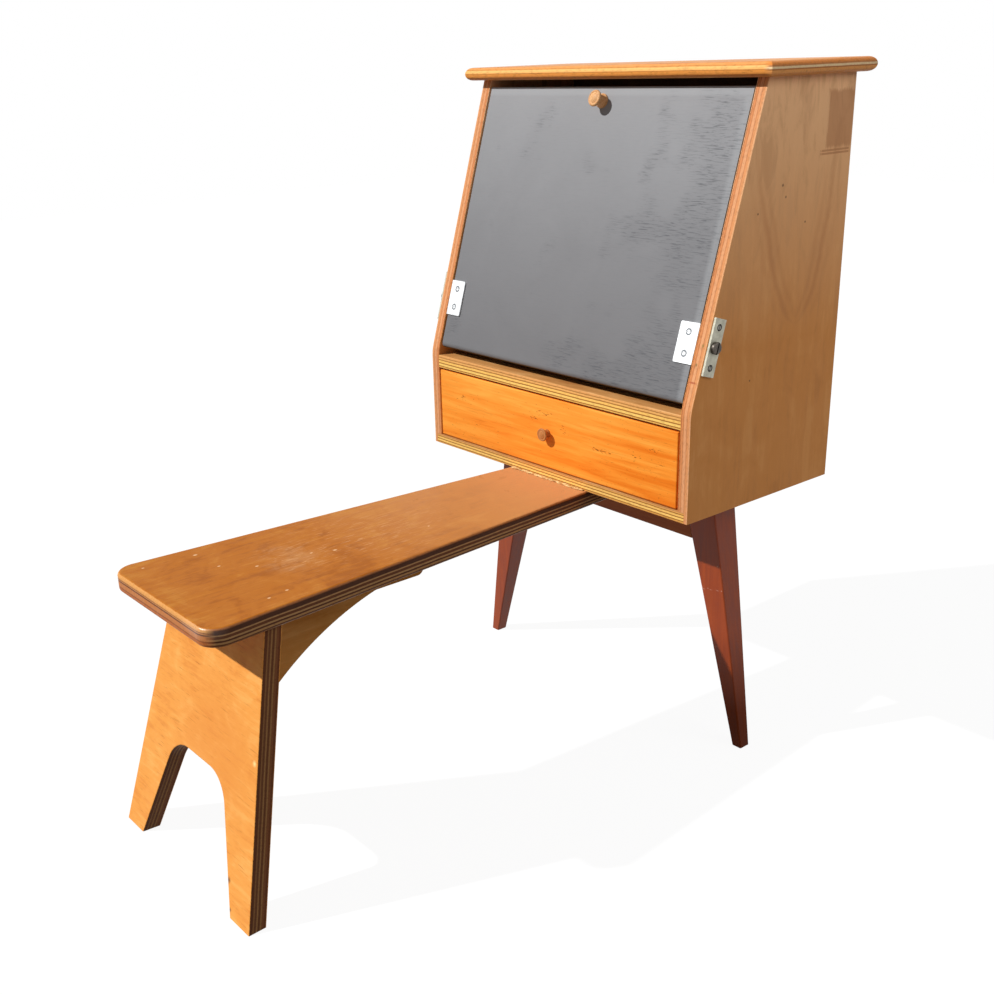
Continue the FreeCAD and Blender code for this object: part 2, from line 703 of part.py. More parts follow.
def end_leg():
    """Arched end leg of the bench, leaning in under the seat and let into it."""
    face_length = seat_underside_z / end_leg_cos
    taper = (end_leg_floor_width - end_leg_top_width) / 2 / face_length
    top = (seat_height + end_leg_thickness * end_leg_sin) / end_leg_cos
    floor_half, top_half = end_leg_floor_width / 2, end_leg_floor_width / 2 - taper * top
    outline = ((-floor_half, 0), (floor_half, 0), (top_half, top), (-top_half, top))
    leg = prism([Vector(x, 0, z) for x, z in outline], BACKWARD * end_leg_thickness)
    arch_taper = (arch_floor_width - arch_top_width) / 2 / arch_length
    mouth_half = arch_floor_width / 2 + arch_taper * cut_overrun
    arch_outline = ((-mouth_half, -cut_overrun), (mouth_half, -cut_overrun),
                    (arch_top_width / 2, arch_length), (-arch_top_width / 2, arch_length))
    arch = prism([Vector(x, -cut_overrun, z) for x, z in arch_outline],
                 BACKWARD * (end_leg_thickness + 2 * cut_overrun))
    arch_corners = [{"x": x, "z": arch_length} for x in (-arch_top_width / 2, arch_top_width / 2)]
    arch = soften(arch, arch_round, *arch_corners)
    leg = leg.cut(arch)
    face_edges = [edge for edge in edges_at(leg, y=0) if edge.BoundBox.ZMax > same_place
                  and edge.BoundBox.ZMin < top - same_place]
    leg = leg.makeFillet(end_leg_edge_round, face_edges)
    leg = lean(leg, end_leg_lean_deg, end_leg_floor_y, 0)
    room = end_leg_floor_width
    level = box((-room, room), (end_leg_floor_y - room, end_leg_face_y + room),
                (0, seat_underside_z + end_leg_housing))
    return leg.common(level)


def seat_board():
    """Bench seat: narrow under the cabinet, wider at its end, with rounded corners and edges."""
    taper = (seat_front_width - seat_desk_width) / 2 / seat_reach
    front_half, back_half = seat_front_width / 2, seat_desk_width / 2 - taper * rail_front_y
    outline = ((-front_half, -seat_reach), (front_half, -seat_reach),
               (back_half, rail_front_y), (-back_half, rail_front_y))
    seat = prism([Vector(x, y, seat_underside_z) for x, y in outline], UPWARD * seat_thickness)
    seat = soften(seat, seat_corner_round, *({"x": x, "y": -seat_reach} for x in (-front_half, front_half)))
    rims = [edge for z in (seat_underside_z, seat_height) for edge in edges_at(seat, z=z)
            if edge.BoundBox.YMin < rail_front_y - same_place]
    seat = seat.makeFillet(seat_edge_round, rims)
    holes = seat_screws(long_screw_hole)
    return seat.cut([end_leg()] + holes + [other_side(hole) for hole in holes])


def seat_gusset():
    """Curved gusset on the middle line, between the seat's underside and the end leg's back."""
    def leg_back_y(z):
        return end_leg_floor_y + z * end_leg_tan + end_leg_thickness / end_leg_cos
    x = -gusset_thickness / 2
    foot_z, tail_z = seat_underside_z - gusset_depth, seat_underside_z - gusset_tail_height
    tail_y = leg_back_y(seat_underside_z) + gusset_reach
    curve_start = Vector(x, leg_back_y(foot_z) + gusset_foot, foot_z)
    curve_end = Vector(x, tail_y - gusset_tail_length, tail_z)
    chord = curve_end - curve_start
    into_wood = Vector(0, -chord.z, chord.y).normalize()
    curve_middle = (curve_start + curve_end) * 0.5 + into_wood * gusset_curve_rise
    top_back = Vector(x, tail_y, seat_underside_z)
    top_front = Vector(x, leg_back_y(seat_underside_z), seat_underside_z)
    foot_front, tail_corner = Vector(x, leg_back_y(foot_z), foot_z), Vector(x, tail_y, tail_z)
    outline = Part.Wire([
        Part.makeLine(foot_front, curve_start),
        Part.Arc(curve_start, curve_middle, curve_end).toShape(),
        Part.makeLine(curve_end, tail_corner),
        Part.makeLine(tail_corner, top_back),
        Part.makeLine(top_back, top_front),
        Part.makeLine(top_front, foot_front),
    ])
    gusset = Part.Face(outline).extrude(ACROSS * gusset_thickness)
    return soften(gusset, gusset_tail_round, {"y": tail_y, "z": tail_z})


def write_part(name, shape, sideways=0):
    """Write a piece, moved sideways where it lies off the middle."""
    shape = shape.copy()
    shape.translate(Vector(sideways, cabinet_front_y, 0))
    shape.exportStep("parts/" + name + ".step")


def write_pair(name, shape, sideways=0):
    """Write a right-hand piece and its mirror image."""
    write_part(name + "_right", shape, sideways)
    write_part(name + "_left", other_side(shape), sideways)


os.makedirs("parts", exist_ok=True)

write_pair("side_panel", side_panel())
write_part("top_board", top_board())
write_part("bottom_board", bottom_board())
write_part("middle_shelf", middle_shelf())
write_part("back_panel", back_panel())
write_part("back_nails", Part.makeCompound(both_sides(side_nails(nail)).Solids + board_nails(nail)))
write_pair("stop_cleat", stop_cleat())
write_part("cleat_screws", both_sides(cleat_screws(long_screw)))

write_part("flap_board", flap_board())
write_pair("flap_bracket", flap_bracket())
write_part("bracket_screws", both_sides(bracket_screws(small_screw)))
write_part("flap_knob", flap_knob())
write_part("flap_knob_screw", flap_knob_screw())

write_pair("pivot_plate", pivot_plate())
write_part("plate_screws", both_sides(plate_screws(small_screw)))
write_pair("pivot_bolt", pivot_bolt())

write_part("drawer_front", drawer_front(), -drawer_rest_shift)
write_pair("drawer_side", drawer_side(), -drawer_rest_shift)
write_part("drawer_back", drawer_back(), -drawer_rest_shift)
write_part("drawer_bottom", drawer_bottom(), -drawer_rest_shift)
write_part("drawer_knob", drawer_knob(), -drawer_rest_shift)
write_part("drawer_knob_screw", drawer_knob_screw(), -drawer_rest_shift)

write_pair("leg", splayed_leg())
write_part("leg_rail", leg_rail())
write_part("leg_screws", both_sides(leg_screws(long_screw)))
write_part("seat_board", seat_board())
write_part("seat_screws", both_sides(seat_screws(long_screw)))
write_part("seat_end_leg", end_leg())
write_part("seat_gusset", seat_gusset())
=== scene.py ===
# Looks of the school desk with a drop-front blackboard flap, a drawer and a joined bench:
# its finishes, the glue squeezed out of its joint, and a plain studio to see it in.
from math import radians

import bpy
from mathutils import Matrix, Vector


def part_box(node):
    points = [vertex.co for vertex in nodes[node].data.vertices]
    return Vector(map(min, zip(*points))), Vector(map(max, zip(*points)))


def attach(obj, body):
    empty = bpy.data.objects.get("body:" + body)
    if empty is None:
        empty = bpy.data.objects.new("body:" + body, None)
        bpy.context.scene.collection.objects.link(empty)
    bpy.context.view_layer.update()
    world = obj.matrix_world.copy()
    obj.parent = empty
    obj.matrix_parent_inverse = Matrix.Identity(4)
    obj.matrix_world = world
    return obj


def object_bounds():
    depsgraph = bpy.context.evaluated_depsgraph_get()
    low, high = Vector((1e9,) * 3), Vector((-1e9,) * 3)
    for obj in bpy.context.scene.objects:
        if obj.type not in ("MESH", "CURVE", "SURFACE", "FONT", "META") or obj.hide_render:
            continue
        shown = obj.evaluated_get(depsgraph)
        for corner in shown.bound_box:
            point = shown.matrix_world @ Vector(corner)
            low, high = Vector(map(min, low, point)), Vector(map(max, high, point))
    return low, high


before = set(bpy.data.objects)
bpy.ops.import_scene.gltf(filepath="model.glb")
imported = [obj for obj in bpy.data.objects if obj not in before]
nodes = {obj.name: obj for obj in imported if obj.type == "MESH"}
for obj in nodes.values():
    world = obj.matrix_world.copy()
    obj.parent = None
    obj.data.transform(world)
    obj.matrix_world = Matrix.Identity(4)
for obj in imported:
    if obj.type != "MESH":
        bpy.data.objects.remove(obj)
cad_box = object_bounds()
scene = bpy.context.scene
scene.view_settings.view_transform = "Standard"

# Places that the finishes and the small pieces are measured from, in metres and degrees.
CABINET_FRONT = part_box("bottom_board")[0].y
SEAT_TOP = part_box("seat_board")[1].z
DRAWER_FACE, DRAWER_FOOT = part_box("drawer_front")[0].y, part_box("drawer_front")[0].z
SIDE_INSIDE, SIDE_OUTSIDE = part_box("side_panel_right")[0].x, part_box("side_panel_right")[1].x
FLAP_SLANT = 16.897          # back from upright
KNEE_HEIGHT = 0.498          # where the sides' front edges turn into the slant
FLAP_LENGTH = 0.3796         # up the slant, from the knee to the flap's upper edge
END_LEG_LEAN = 14.15         # from upright
END_LEG_DEPTH = 0.4115       # from the origin to the end leg's back, square to its face
TOP_THICK, SHELF_THICK, BASE_THICK = 0.017, 0.019, 0.014
SEAT_THICK, END_LEG_THICK, GUSSET_THICK = 0.023, 0.022, 0.020

# How brightly varnish shines: on a face, unless the board says otherwise, and on a sawn edge.
FACE_SHINE, EDGE_SHINE = 0.12, 0.08


def linear(colour):
    """An sRGB hex colour as the linear colour that a socket takes."""
    parts = [int(colour[i:i + 2], 16) / 255 for i in (1, 3, 5)]
    return [p / 12.92 if p <= 0.04045 else ((p + 0.055) / 1.055) ** 2.4 for p in parts] + [1.0]


def per_metre(mm):
    """How many features of that size in millimetres go into a metre."""
    return 1000.0 / mm


def new_finish(name):
    """A finish with no nodes in it yet."""
    finish = bpy.data.materials.new(name)
    finish.use_nodes = True
    finish.node_tree.nodes.clear()
    return finish


def add(finish, kind, gives, inputs=None, stops=None, **settings):
    """Adds a node with its settings, its colour stops and its inputs, each a value or another
    node's output, and hands back the output that it gives, or the node where that is None."""
    node = finish.node_tree.nodes.new("ShaderNode" + kind)
    for setting, value in settings.items():
        setattr(node, setting, value)
    if stops:
        fade, *marks = stops
        ramp = node.color_ramp
        ramp.interpolation = fade
        ramp.elements.remove(ramp.elements[1])
        for count, (at, colour) in enumerate(marks):
            mark = ramp.elements[0] if count == 0 else ramp.elements.new(at)
            mark.position = at
            mark.color = linear(colour) if isinstance(colour, str) else [colour] * 3 + [1.0]
    for name, value in (inputs or {}).items():
        socket = node.inputs[name] if isinstance(name, int) else next(
            s for s in node.inputs if name in (s.identifier, s.name))
        if isinstance(value, bpy.types.NodeSocket):
            finish.node_tree.links.new(value, socket)
        else:
            socket.default_value = value
    if gives is None:
        return node
    return next(s for s in node.outputs if gives in (s.identifier, s.name))


def close(finish, colour, roughness, height, relief_mm, **shader):
    """The finish's surface: colour, roughness and relief into one shader, with its other values."""
    names = {"metallic": "Metallic", "specular": "Specular IOR Level"}
    relief = add(finish, "Bump", "Normal", {
        "Height": height, "Strength": 0.6, "Distance": relief_mm / 1000.0})
    others = {names[key]: value for key, value in shader.items()}
    surface = add(finish, "BsdfPrincipled", "BSDF", {
        "Base Color": colour, "Roughness": roughness, "Normal": relief, **others})
    add(finish, "OutputMaterial", None, {"Surface": surface})
    return finish


def streaks(finish, lying, long_mm, wide_mm, detail, wobble=0.3):
    """Uneven streaks of about that length along x and that width across it, from 0 to 1."""
    across = per_metre(wide_mm)
    drawn = add(finish, "Mapping", "Vector", {
        "Vector": lying, "Scale": (per_metre(long_mm), across, across)})
    return add(finish, "TexNoise", "Fac", {
        "Vector": drawn, "Scale": 1.0, "Detail": detail, "Roughness": 0.6, "Distortion": wobble})


def spot(finish, place, centre, size):
    """A soft spot on the object, one at its centre and nothing at its edge, in metres."""
    near = add(finish, "Mapping", "Vector", {
        "Vector": place, "Scale": [1.0 / s for s in size],
        "Location": [-c / s for c, s in zip(centre, size)]})
    return add(finish, "TexGradient", "Fac", {"Vector": near}, gradient_type="SPHERICAL")


def stain(finish, colour, cover, tint):
    """The colour with a tint laid over it where the cover is."""
    return add(finish, "Mix", "Result_Color", {
        "Factor_Float": cover, "A_Color": colour, "B_Color": linear(tint)}, data_type="RGBA")


def sheets(finish, level, plies):
    """The stripes of a sawn plywood edge, by the level in the board from 0 to 1, softly joined."""
    plain_from, plain_to = 0.15, 0.85       # how much of each sheet has its own colour
    stack, start = [], 0.0
    for share, colour in plies:
        stack += [(start + plain_from * share, colour), (start + plain_to * share, colour)]
        start += share
    return add(finish, "ValToRGB", "Color", {"Fac": level}, stops=("LINEAR", *stack))


def plywood(name, turn, shift, thickness, plies, face, grain_mm, gloss, shine=FACE_SHINE,
            ends=None, pores=None, paired=0.0, marks=None, edge_marks=(), polished=None):
    """Rotary-cut plywood under old brushed varnish. Its faces show warm veneer, cloudy and softly
    streaked along the grain; its sawn edges show the sheets as pale and dark stripes, because
    every other sheet is end grain and drinks the varnish. turn and shift lay the board flat, with
    the grain along x and the thickness from nought upwards.

    face is the veneer from dark to pale, gloss the least and the most roughness. ends gives the
    sheets that show past a place along the grain, pores the open vessels, paired the inside of
    two mirrored boards, marks a function that stains the veneer, edge_marks small spots on the
    edges, and polished a rubbed corner."""
    board = new_finish(name)
    place = add(board, "TexCoord", "Object")
    lying = add(board, "Mapping", "Vector", {
        "Vector": place, "Rotation": [radians(a) for a in turn], "Location": shift})
    parts = add(board, "SeparateXYZ", None, {"Vector": lying})

    # Veneer: streaks as long and wide as grain_mm says, with clouds behind them and fine fibres.
    long_mm, wide_mm = grain_mm
    figure = streaks(board, lying, long_mm, wide_mm, detail=5.0, wobble=0.5)
    cloud = streaks(board, lying, long_mm * 0.7, wide_mm * 5, detail=3.0, wobble=0.8)
    fibres = streaks(board, lying, 10, 1.2, detail=3.0, wobble=0.0)
    tone = -0.08
    for pattern, part in ((figure, 0.5), (cloud, 0.5), (fibres, 0.16)):
        tone = add(board, "Math", "Value", {0: pattern, 1: part, 2: tone},
                   operation="MULTIPLY_ADD")
    dark, middle, pale = face
    veneer = add(board, "ValToRGB", "Color", {"Fac": tone},
                 stops=("EASE", (0.36, dark), (0.5, middle), (0.64, pale)))
    if pores:
        # Open vessels, drawn a little wider than life, so that they show.
        length_mm, width_mm, rare, tint = pores
        vessels = streaks(board, lying, length_mm, width_mm, detail=2.0, wobble=0.2)
        open_pores = add(board, "ValToRGB", "Color", {"Fac": vessels},
                         stops=("LINEAR", (rare, 0.0), (rare + 0.12, 0.8)))
        veneer = stain(board, veneer, open_pores, tint)
    if marks:
        veneer = marks(board, place, parts, veneer)

    # Sawn edge: the sheets by their depth in the board, a little wavy along the edge.
    depth = parts.outputs["Z"]
    if paired:
        depth = add(board, "Math", "Value", {0: depth}, operation="ABSOLUTE")
        depth = add(board, "Math", "Value", {0: depth, 1: paired}, operation="SUBTRACT")
    level = add(board, "Math", "Value", {0: depth, 1: thickness}, operation="DIVIDE")
    waver = add(board, "TexNoise", "Fac", {
        "Vector": lying, "Scale": per_metre(45), "Detail": 2.0, "Roughness": 0.5})
    waver = add(board, "Math", "Value", {0: waver, 1: 0.06, 2: -0.03}, operation="MULTIPLY_ADD")
    wavy = add(board, "Math", "Value", {0: level, 1: waver}, operation="ADD")
    sawn = sheets(board, wavy, plies)
    if ends:
        end_plies, end_from = ends
        at_end = add(board, "MapRange", "Result", {
            "Value": parts.outputs["X"], "From Min": end_from, "From Max": end_from + 0.008})
        sawn = add(board, "Mix", "Result_Color", {
            "Factor_Float": at_end, "A_Color": sawn, "B_Color": sheets(board, wavy, end_plies)},
            data_type="RGBA")
    scratches = streaks(board, lying, 6, 2.2, detail=3.0, wobble=0.0)
    worn = add(board, "ValToRGB", "Color", {"Fac": scratches},
               stops=("LINEAR", (0.30, 0.72), (0.50, 0.97), (0.70, 1.0)))
    sawn = add(board, "Mix", "Result_Color", {
        "Factor_Float": 1.0, "A_Color": sawn, "B_Color": worn},
        data_type="RGBA", blend_type="MULTIPLY")

    # The veneer lies on the two faces alone, so it ends raggedly within 0.8 mm of them.
    ragged, begins, ends_at = 0.0012 / thickness, 0.0002 / thickness, 0.0001 / thickness
    from_middle = add(board, "Math", "Value", {0: level, 1: 0.5}, operation="SUBTRACT")
    from_middle = add(board, "Math", "Value", {0: from_middle}, operation="ABSOLUTE")
    from_middle = add(board, "Math", "Value", {0: scratches, 1: ragged, 2: from_middle},
                      operation="MULTIPLY_ADD")
    on_face = add(board, "MapRange", "Result", {
        "Value": from_middle, "From Min": 0.5 - begins, "From Max": 0.5 + ends_at})
    colour = add(board, "Mix", "Result_Color", {
        "Factor_Float": on_face, "A_Color": sawn, "B_Color": veneer}, data_type="RGBA")
    for centre, size, tint in edge_marks:
        colour = stain(board, colour, spot(board, place, centre, size), tint)

    low, high = gloss
    rough = add(board, "MapRange", "Result", {
        "Value": figure, "From Min": 0.3, "From Max": 0.7, "To Min": low, "To Max": high})
    height = add(board, "Math", "Value", {0: fibres, 1: 0.5, 2: scratches},
                 operation="MULTIPLY_ADD")
    # The sawn edges drink the varnish, so they have one low shine on every board.
    shiny = add(board, "MapRange", "Result", {
        "Value": on_face, "To Min": EDGE_SHINE, "To Max": shine})
    if polished:
        # A corner that is rubbed smooth, where the varnish on the rounded edge glints in the sun.
        brighter, rougher = 0.7, -0.16
        edge = add(board, "MapRange", "Result", {"Value": on_face, "To Min": 1.0, "To Max": 0.0})
        rubbed = spot(board, place, *polished)
        rubbed = add(board, "Math", "Value", {0: rubbed, 1: edge}, operation="MULTIPLY")
        shiny = add(board, "Math", "Value", {0: rubbed, 1: brighter, 2: shiny},
                    operation="MULTIPLY_ADD")
        rough = add(board, "Math", "Value", {0: rubbed, 1: rougher, 2: rough},
                    operation="MULTIPLY_ADD")
    return close(board, colour, rough, height, relief_mm=0.2, specular=shiny)


# Marks on the right side, in metres. The patch that was torn off and the double scratch under it:
# y and z, half their size, how ragged and how strong. The pin holes: y, z, radius. On its slanted
# edge, two spots of filler and a red pencil line: place, half size, colour.
TORN_PATCH = ((0.406, 0.818), (0.027, 0.035), 0.34, 0.62)
DOUBLE_SCRATCH = [((0.400, z), (0.0295, 0.0013), 0.5, 0.7) for z in (0.7818, 0.7782)]
PIN_HOLES = ((0.301, 0.748, 0.0024), (0.308, 0.734, 0.0020), (0.257, 0.719, 0.0019),
             (0.349, 0.701, 0.0019), (0.2585, 0.519, 0.0018))
SIDE_EDGE_MARKS = (((0.2440, 0.1755, 0.5752), (0.0026, 0.0026, 0.0036), "#86703c"),
                   ((0.2406, 0.1687, 0.5530), (0.0022, 0.0022, 0.0030), "#7c6234"),
                   ((0.2410, 0.1625, 0.5325), (0.0080, 0.0030, 0.0016), "#a54a30"))


def growth_rings(board, place, where):
    """How strongly the sides' growth rings show: one soft dark arch, point down and a little
    askew, with fainter ones beside it, fading at its point and towards the top."""
    point_y, point_z, lean, steep = 0.343, 0.578, 0.08, 35.0
    wander = 0.014                          # how far the rings stray from the arch, in metres
    stray = add(board, "TexNoise", "Fac", {
        "Vector": place, "Scale": per_metre(50), "Detail": 3.0, "Roughness": 0.6})
    aside = add(board, "Math", "Value", {
        0: where.outputs["Z"], 1: lean, 2: where.outputs["Y"]}, operation="MULTIPLY_ADD")
    aside = add(board, "Math", "Value", {0: stray, 1: wander, 2: aside}, operation="MULTIPLY_ADD")
    aside = add(board, "Math", "Value", {
        0: aside, 1: point_y + lean * point_z + wander / 2}, operation="SUBTRACT")
    aside = add(board, "Math", "Value", {0: aside}, operation="ABSOLUTE")
    arch = add(board, "Math", "Value", {
        0: where.outputs["Z"], 1: 1.0 / steep, 2: -point_z / steep}, operation="MULTIPLY_ADD")
    arch = add(board, "Math", "Value", {0: arch}, operation="SQRT")
    inside = add(board, "Math", "Value", {0: arch, 1: aside}, operation="SUBTRACT")
    inside = add(board, "MapRange", "Result", {
        "Value": inside, "From Min": -0.03, "From Max": 0.03})
    rings = add(board, "ValToRGB", "Color", {"Fac": inside}, stops=(
        "EASE", (0.10, 0.0), (0.24, 0.12), (0.36, 0.04), (0.50, 0.38), (0.63, 0.08), (0.74, 0.20),
        (0.88, 0.0)))
    for none_at, full_at in ((0.82, 0.70), (point_z - 0.006, point_z + 0.016)):
        reach = add(board, "MapRange", "Result", {
            "Value": where.outputs["Z"], "From Min": none_at, "From Max": full_at})
        rings = add(board, "Math", "Value", {0: rings, 1: reach}, operation="MULTIPLY")
    return rings


def side_marks(board, place, parts, veneer):
    """Damp on the cabinet's sides, and a painted sheen that makes them paler and greyer towards the
    top, over an arch of growth rings. On the right side a dark oblong where something was glued
    and torn off, a double scratch under it, and a few pin holes."""
    where = add(board, "SeparateXYZ", None, {"Vector": place})
    # Paler and greyer towards the top: a painted sheen of the light on the upper side.
    painted_sheen = add(board, "MapRange", "Result", {
        "Value": where.outputs["Z"], "From Min": 0.56, "From Max": 0.87, "To Max": 0.92})
    veneer = stain(board, veneer, painted_sheen, "#fec996")
    damp = add(board, "Mapping", "Vector", {
        "Vector": place, "Scale": (1.0, per_metre(22), per_metre(75))})
    damp = add(board, "TexNoise", "Fac", {
        "Vector": damp, "Scale": 1.0, "Detail": 4.0, "Roughness": 0.65, "Distortion": 0.6})
    damp = add(board, "ValToRGB", "Color", {"Fac": damp},
               stops=("EASE", (0.46, 0.0), (0.68, 0.55)))
    damp = add(board, "Math", "Value", {0: damp, 1: painted_sheen}, operation="MULTIPLY")
    veneer = stain(board, veneer, damp, "#c48e60")
    veneer = stain(board, veneer, growth_rings(board, place, where), "#b97546")

    on_right = add(board, "Math", "Value", {0: where.outputs["X"], 1: 0.0},
                   operation="GREATER_THAN")
    ragged = add(board, "Mapping", "Vector", {
        "Vector": place, "Scale": (1.0, per_metre(2.5), per_metre(22))})
    ragged = add(board, "TexNoise", "Fac", {
        "Vector": ragged, "Scale": 1.0, "Detail": 3.0, "Roughness": 0.6})
    for (y, z), (half_y, half_z), rough_edge, strength in (TORN_PATCH, *DOUBLE_SCRATCH):
        near = add(board, "Mapping", "Vector", {
            "Vector": place, "Scale": (0.0, 1.0 / half_y, 1.0 / half_z),
            "Location": (0.0, -y / half_y, -z / half_z)})
        near = add(board, "VectorMath", "Vector", {0: near}, operation="ABSOLUTE")
        near = add(board, "SeparateXYZ", None, {"Vector": near})
        reach = add(board, "Math", "Value", {
            0: near.outputs["Y"], 1: near.outputs["Z"]}, operation="MAXIMUM")
        reach = add(board, "Math", "Value", {0: ragged, 1: rough_edge, 2: reach},
                    operation="MULTIPLY_ADD")
        reach = add(board, "Math", "Value", {0: reach, 1: rough_edge / 2}, operation="SUBTRACT")
        cover = add(board, "ValToRGB", "Color", {"Fac": reach},
                    stops=("LINEAR", (0.88, strength), (1.0, 0.0)))
        cover = add(board, "Math", "Value", {0: cover, 1: on_right}, operation="MULTIPLY")
        veneer = stain(board, veneer, cover, "#b97c50")
    for y, z, radius in PIN_HOLES:
        hole = spot(board, place, (SIDE_OUTSIDE, y, z), (radius, radius, radius))
        veneer = stain(board, veneer, hole, "#3a2417")
    return veneer


# Chips in the seat's varnish, in metres: x, y, and half their width.
SEAT_CHIPS = ((-0.087, -0.343, 0.0022), (-0.093, -0.408, 0.0015), (-0.036, -0.339, 0.0017),
              (-0.005, -0.306, 0.0018), (0.079, -0.317, 0.0018), (0.0045, -0.237, 0.0016),
              (0.0165, -0.211, 0.0022), (0.084, -0.343, 0.0017), (0.031, -0.080, 0.0013))
SEAT_CHIP_LENGTH = 1.6       # times its width


def seat_wear(board, place, parts, veneer):
    """Where people sat the varnish is rubbed pale and scored, towards the cabinet it is paler and
    pinker, a painted sheen, dirt lies in patches, and small chips show bare wood."""
    where = add(board, "SeparateXYZ", None, {"Vector": place})
    # Paler and pinker towards the cabinet: a painted reflection of the bright surroundings on the
    # varnish.
    painted_sheen = add(board, "MapRange", "Result", {
        "Value": where.outputs["Y"], "From Min": -0.20, "From Max": 0.14, "To Max": 0.9})
    veneer = stain(board, veneer, painted_sheen, "#d09562")
    rubbing = add(board, "TexNoise", "Fac", {
        "Vector": place, "Scale": per_metre(30), "Detail": 5.0, "Roughness": 0.7,
        "Distortion": 1.2})
    seat_place = spot(board, place, (0.0, -0.262, SEAT_TOP), (0.10, 0.085, 0.03))
    worn = add(board, "Math", "Value", {0: rubbing, 1: seat_place}, operation="MULTIPLY")
    worn = add(board, "ValToRGB", "Color", {"Fac": worn},
               stops=("EASE", (0.20, 0.0), (0.50, 0.4)))
    veneer = stain(board, veneer, worn, "#cc9562")
    drawn = add(board, "Mapping", "Vector", {
        "Vector": place, "Rotation": (0, 0, radians(12)),
        "Scale": (per_metre(2.2), per_metre(20), per_metre(20))})
    scores = add(board, "TexNoise", "Fac", {
        "Vector": drawn, "Scale": 1.0, "Detail": 3.0, "Roughness": 0.6, "Distortion": 0.4})
    scores = add(board, "ValToRGB", "Color", {"Fac": scores},
                 stops=("LINEAR", (0.55, 0.0), (0.68, 1.4)))
    sat_on = spot(board, place, (0.0, -0.155, SEAT_TOP), (0.13, 0.17, 0.03))
    sat_on = add(board, "Math", "Value", {0: sat_on, 1: 0.45, 2: worn}, operation="MULTIPLY_ADD")
    scores = add(board, "Math", "Value", {0: scores, 1: sat_on}, operation="MULTIPLY")
    veneer = stain(board, veneer, scores, "#daa874")
    dirt = add(board, "ValToRGB", "Color", {"Fac": rubbing},
               stops=("LINEAR", (0.62, 0.0), (0.78, 0.35)))
    veneer = stain(board, veneer, dirt, "#8a4a1c")
    for x, y, radius in SEAT_CHIPS:
        chip = spot(board, place, (x, y, SEAT_TOP), (radius, radius * SEAT_CHIP_LENGTH, radius))
        veneer = stain(board, veneer, chip, "#ffe2b4")
    return veneer


# On the end leg, a pale chip at its near edge and two dark knocks on its near foot, in metres:
# place, radius, colour.
END_LEG_KNOCKS = (((0.1195, -0.3996, 0.1865), 0.0046, "#ffdf9a"),
                  ((0.099, -0.437, 0.040), 0.0050, "#5a3018"),
                  ((0.1095, -0.445, 0.009), 0.0034, "#5a3018"))


def end_leg_wear(board, place, parts, veneer):
    """The bench's end leg: redder round the arch, where hands carried it, paler towards the seat,
    with a chip and a few knocks."""
    handled = spot(board, place, (0.035, -0.405, 0.165), (0.12, 0.1, 0.10))
    handled = add(board, "ValToRGB", "Color", {"Fac": handled},
                  stops=("EASE", (0.0, 0.0), (0.7, 0.5)))
    veneer = stain(board, veneer, handled, "#e08c3e")
    upper = add(board, "MapRange", "Result", {
        "Value": parts.outputs["Y"], "From Min": 0.20, "From Max": 0.30, "To Max": 0.6})
    veneer = stain(board, veneer, upper, "#f6b566")
    for centre, radius, tint in END_LEG_KNOCKS:
        knock = spot(board, place, centre, (radius, radius, radius))
        veneer = stain(board, veneer, knock, tint)
    return veneer


# Sheets of each board, from its underside or its inside outwards: share of the thickness, colour.
# The sides' inside sheet is dark maroon: partly a dark sheet, partly a painted shade of the gap
# beside the flap.
SIDE_PLIES = [(0.07, "#8f4128"), (0.20, "#d88d58"), (0.04, "#c47a4c"), (0.30, "#e3a272"),
              (0.04, "#c88052"), (0.23, "#dd9762"), (0.12, "#e8aa7a")]
TOP_PLIES = [(0.16, "#cc7e38"), (0.05, "#b86e30"), (0.26, "#f4a04c"), (0.04, "#d08440"),
             (0.26, "#ffc272"), (0.04, "#d08a44"), (0.19, "#f0a05a")]
# The top's right end, in shade: a lighter copy of its sheets, and the pale sheet in the middle is a
# painted reflection on the varnished rounding.
TOP_END_PLIES = [(0.20, "#de9048"), (0.20, "#eea258"), (0.08, "#b87440"), (0.15, "#f0d0a0"),
                 (0.09, "#c07c44"), (0.28, "#de8638")]
SHELF_PLIES = [(0.12, "#f2bc62"), (0.06, "#a0642c"), (0.18, "#ffd274"), (0.06, "#a0642c"),
               (0.18, "#ffca6c"), (0.06, "#a86c34"), (0.14, "#efb468"), (0.05, "#b2763e"),
               (0.15, "#e6a864")]
BASE_PLIES = [(0.14, "#dea24e"), (0.07, "#985c28"), (0.22, "#fecb70"), (0.07, "#985c28"),
              (0.22, "#f6c068"), (0.07, "#a0642e"), (0.11, "#e0a254"), (0.10, "#c08a62")]
SEAT_SIDE_PLIES = [(0.10, "#9a6436"), (0.08, "#643a20"), (0.10, "#b58656"), (0.09, "#5a321e"),
                   (0.08, "#bb8e5e"), (0.16, "#6c4026"), (0.04, "#c09060"), (0.27, "#52301f"),
                   (0.08, "#a8683a")]
SEAT_END_PLIES = [(0.08, "#94502a"), (0.22, "#b86a36"), (0.03, "#8f4e28"), (0.30, "#c47a42"),
                  (0.05, "#582a14"), (0.06, "#c88448"), (0.03, "#985a2c"), (0.23, "#de9c56")]
END_LEG_PLIES = [(0.16, "#6f3f24"), (0.14, "#825030"), (0.08, "#a07246"), (0.14, "#6c4126"),
                 (0.08, "#a27448"), (0.13, "#70452a"), (0.06, "#94663e"), (0.21, "#663a22")]
GUSSET_PLIES = [(0.16, "#96602f"), (0.16, "#704428"), (0.15, "#bb8a58"), (0.16, "#704428"),
                (0.15, "#bb8a58"), (0.22, "#96602f")]

# Where the top's right end and the seat's free end begin, along the grain, in metres. The seat's
# near corner, which is rubbed: its place and half its size.
TOP_END, SEAT_END = 0.256, 0.427
SEAT_CORNER = ((0.094, -0.434, SEAT_TOP - 0.002), (0.040, 0.030, 0.016))

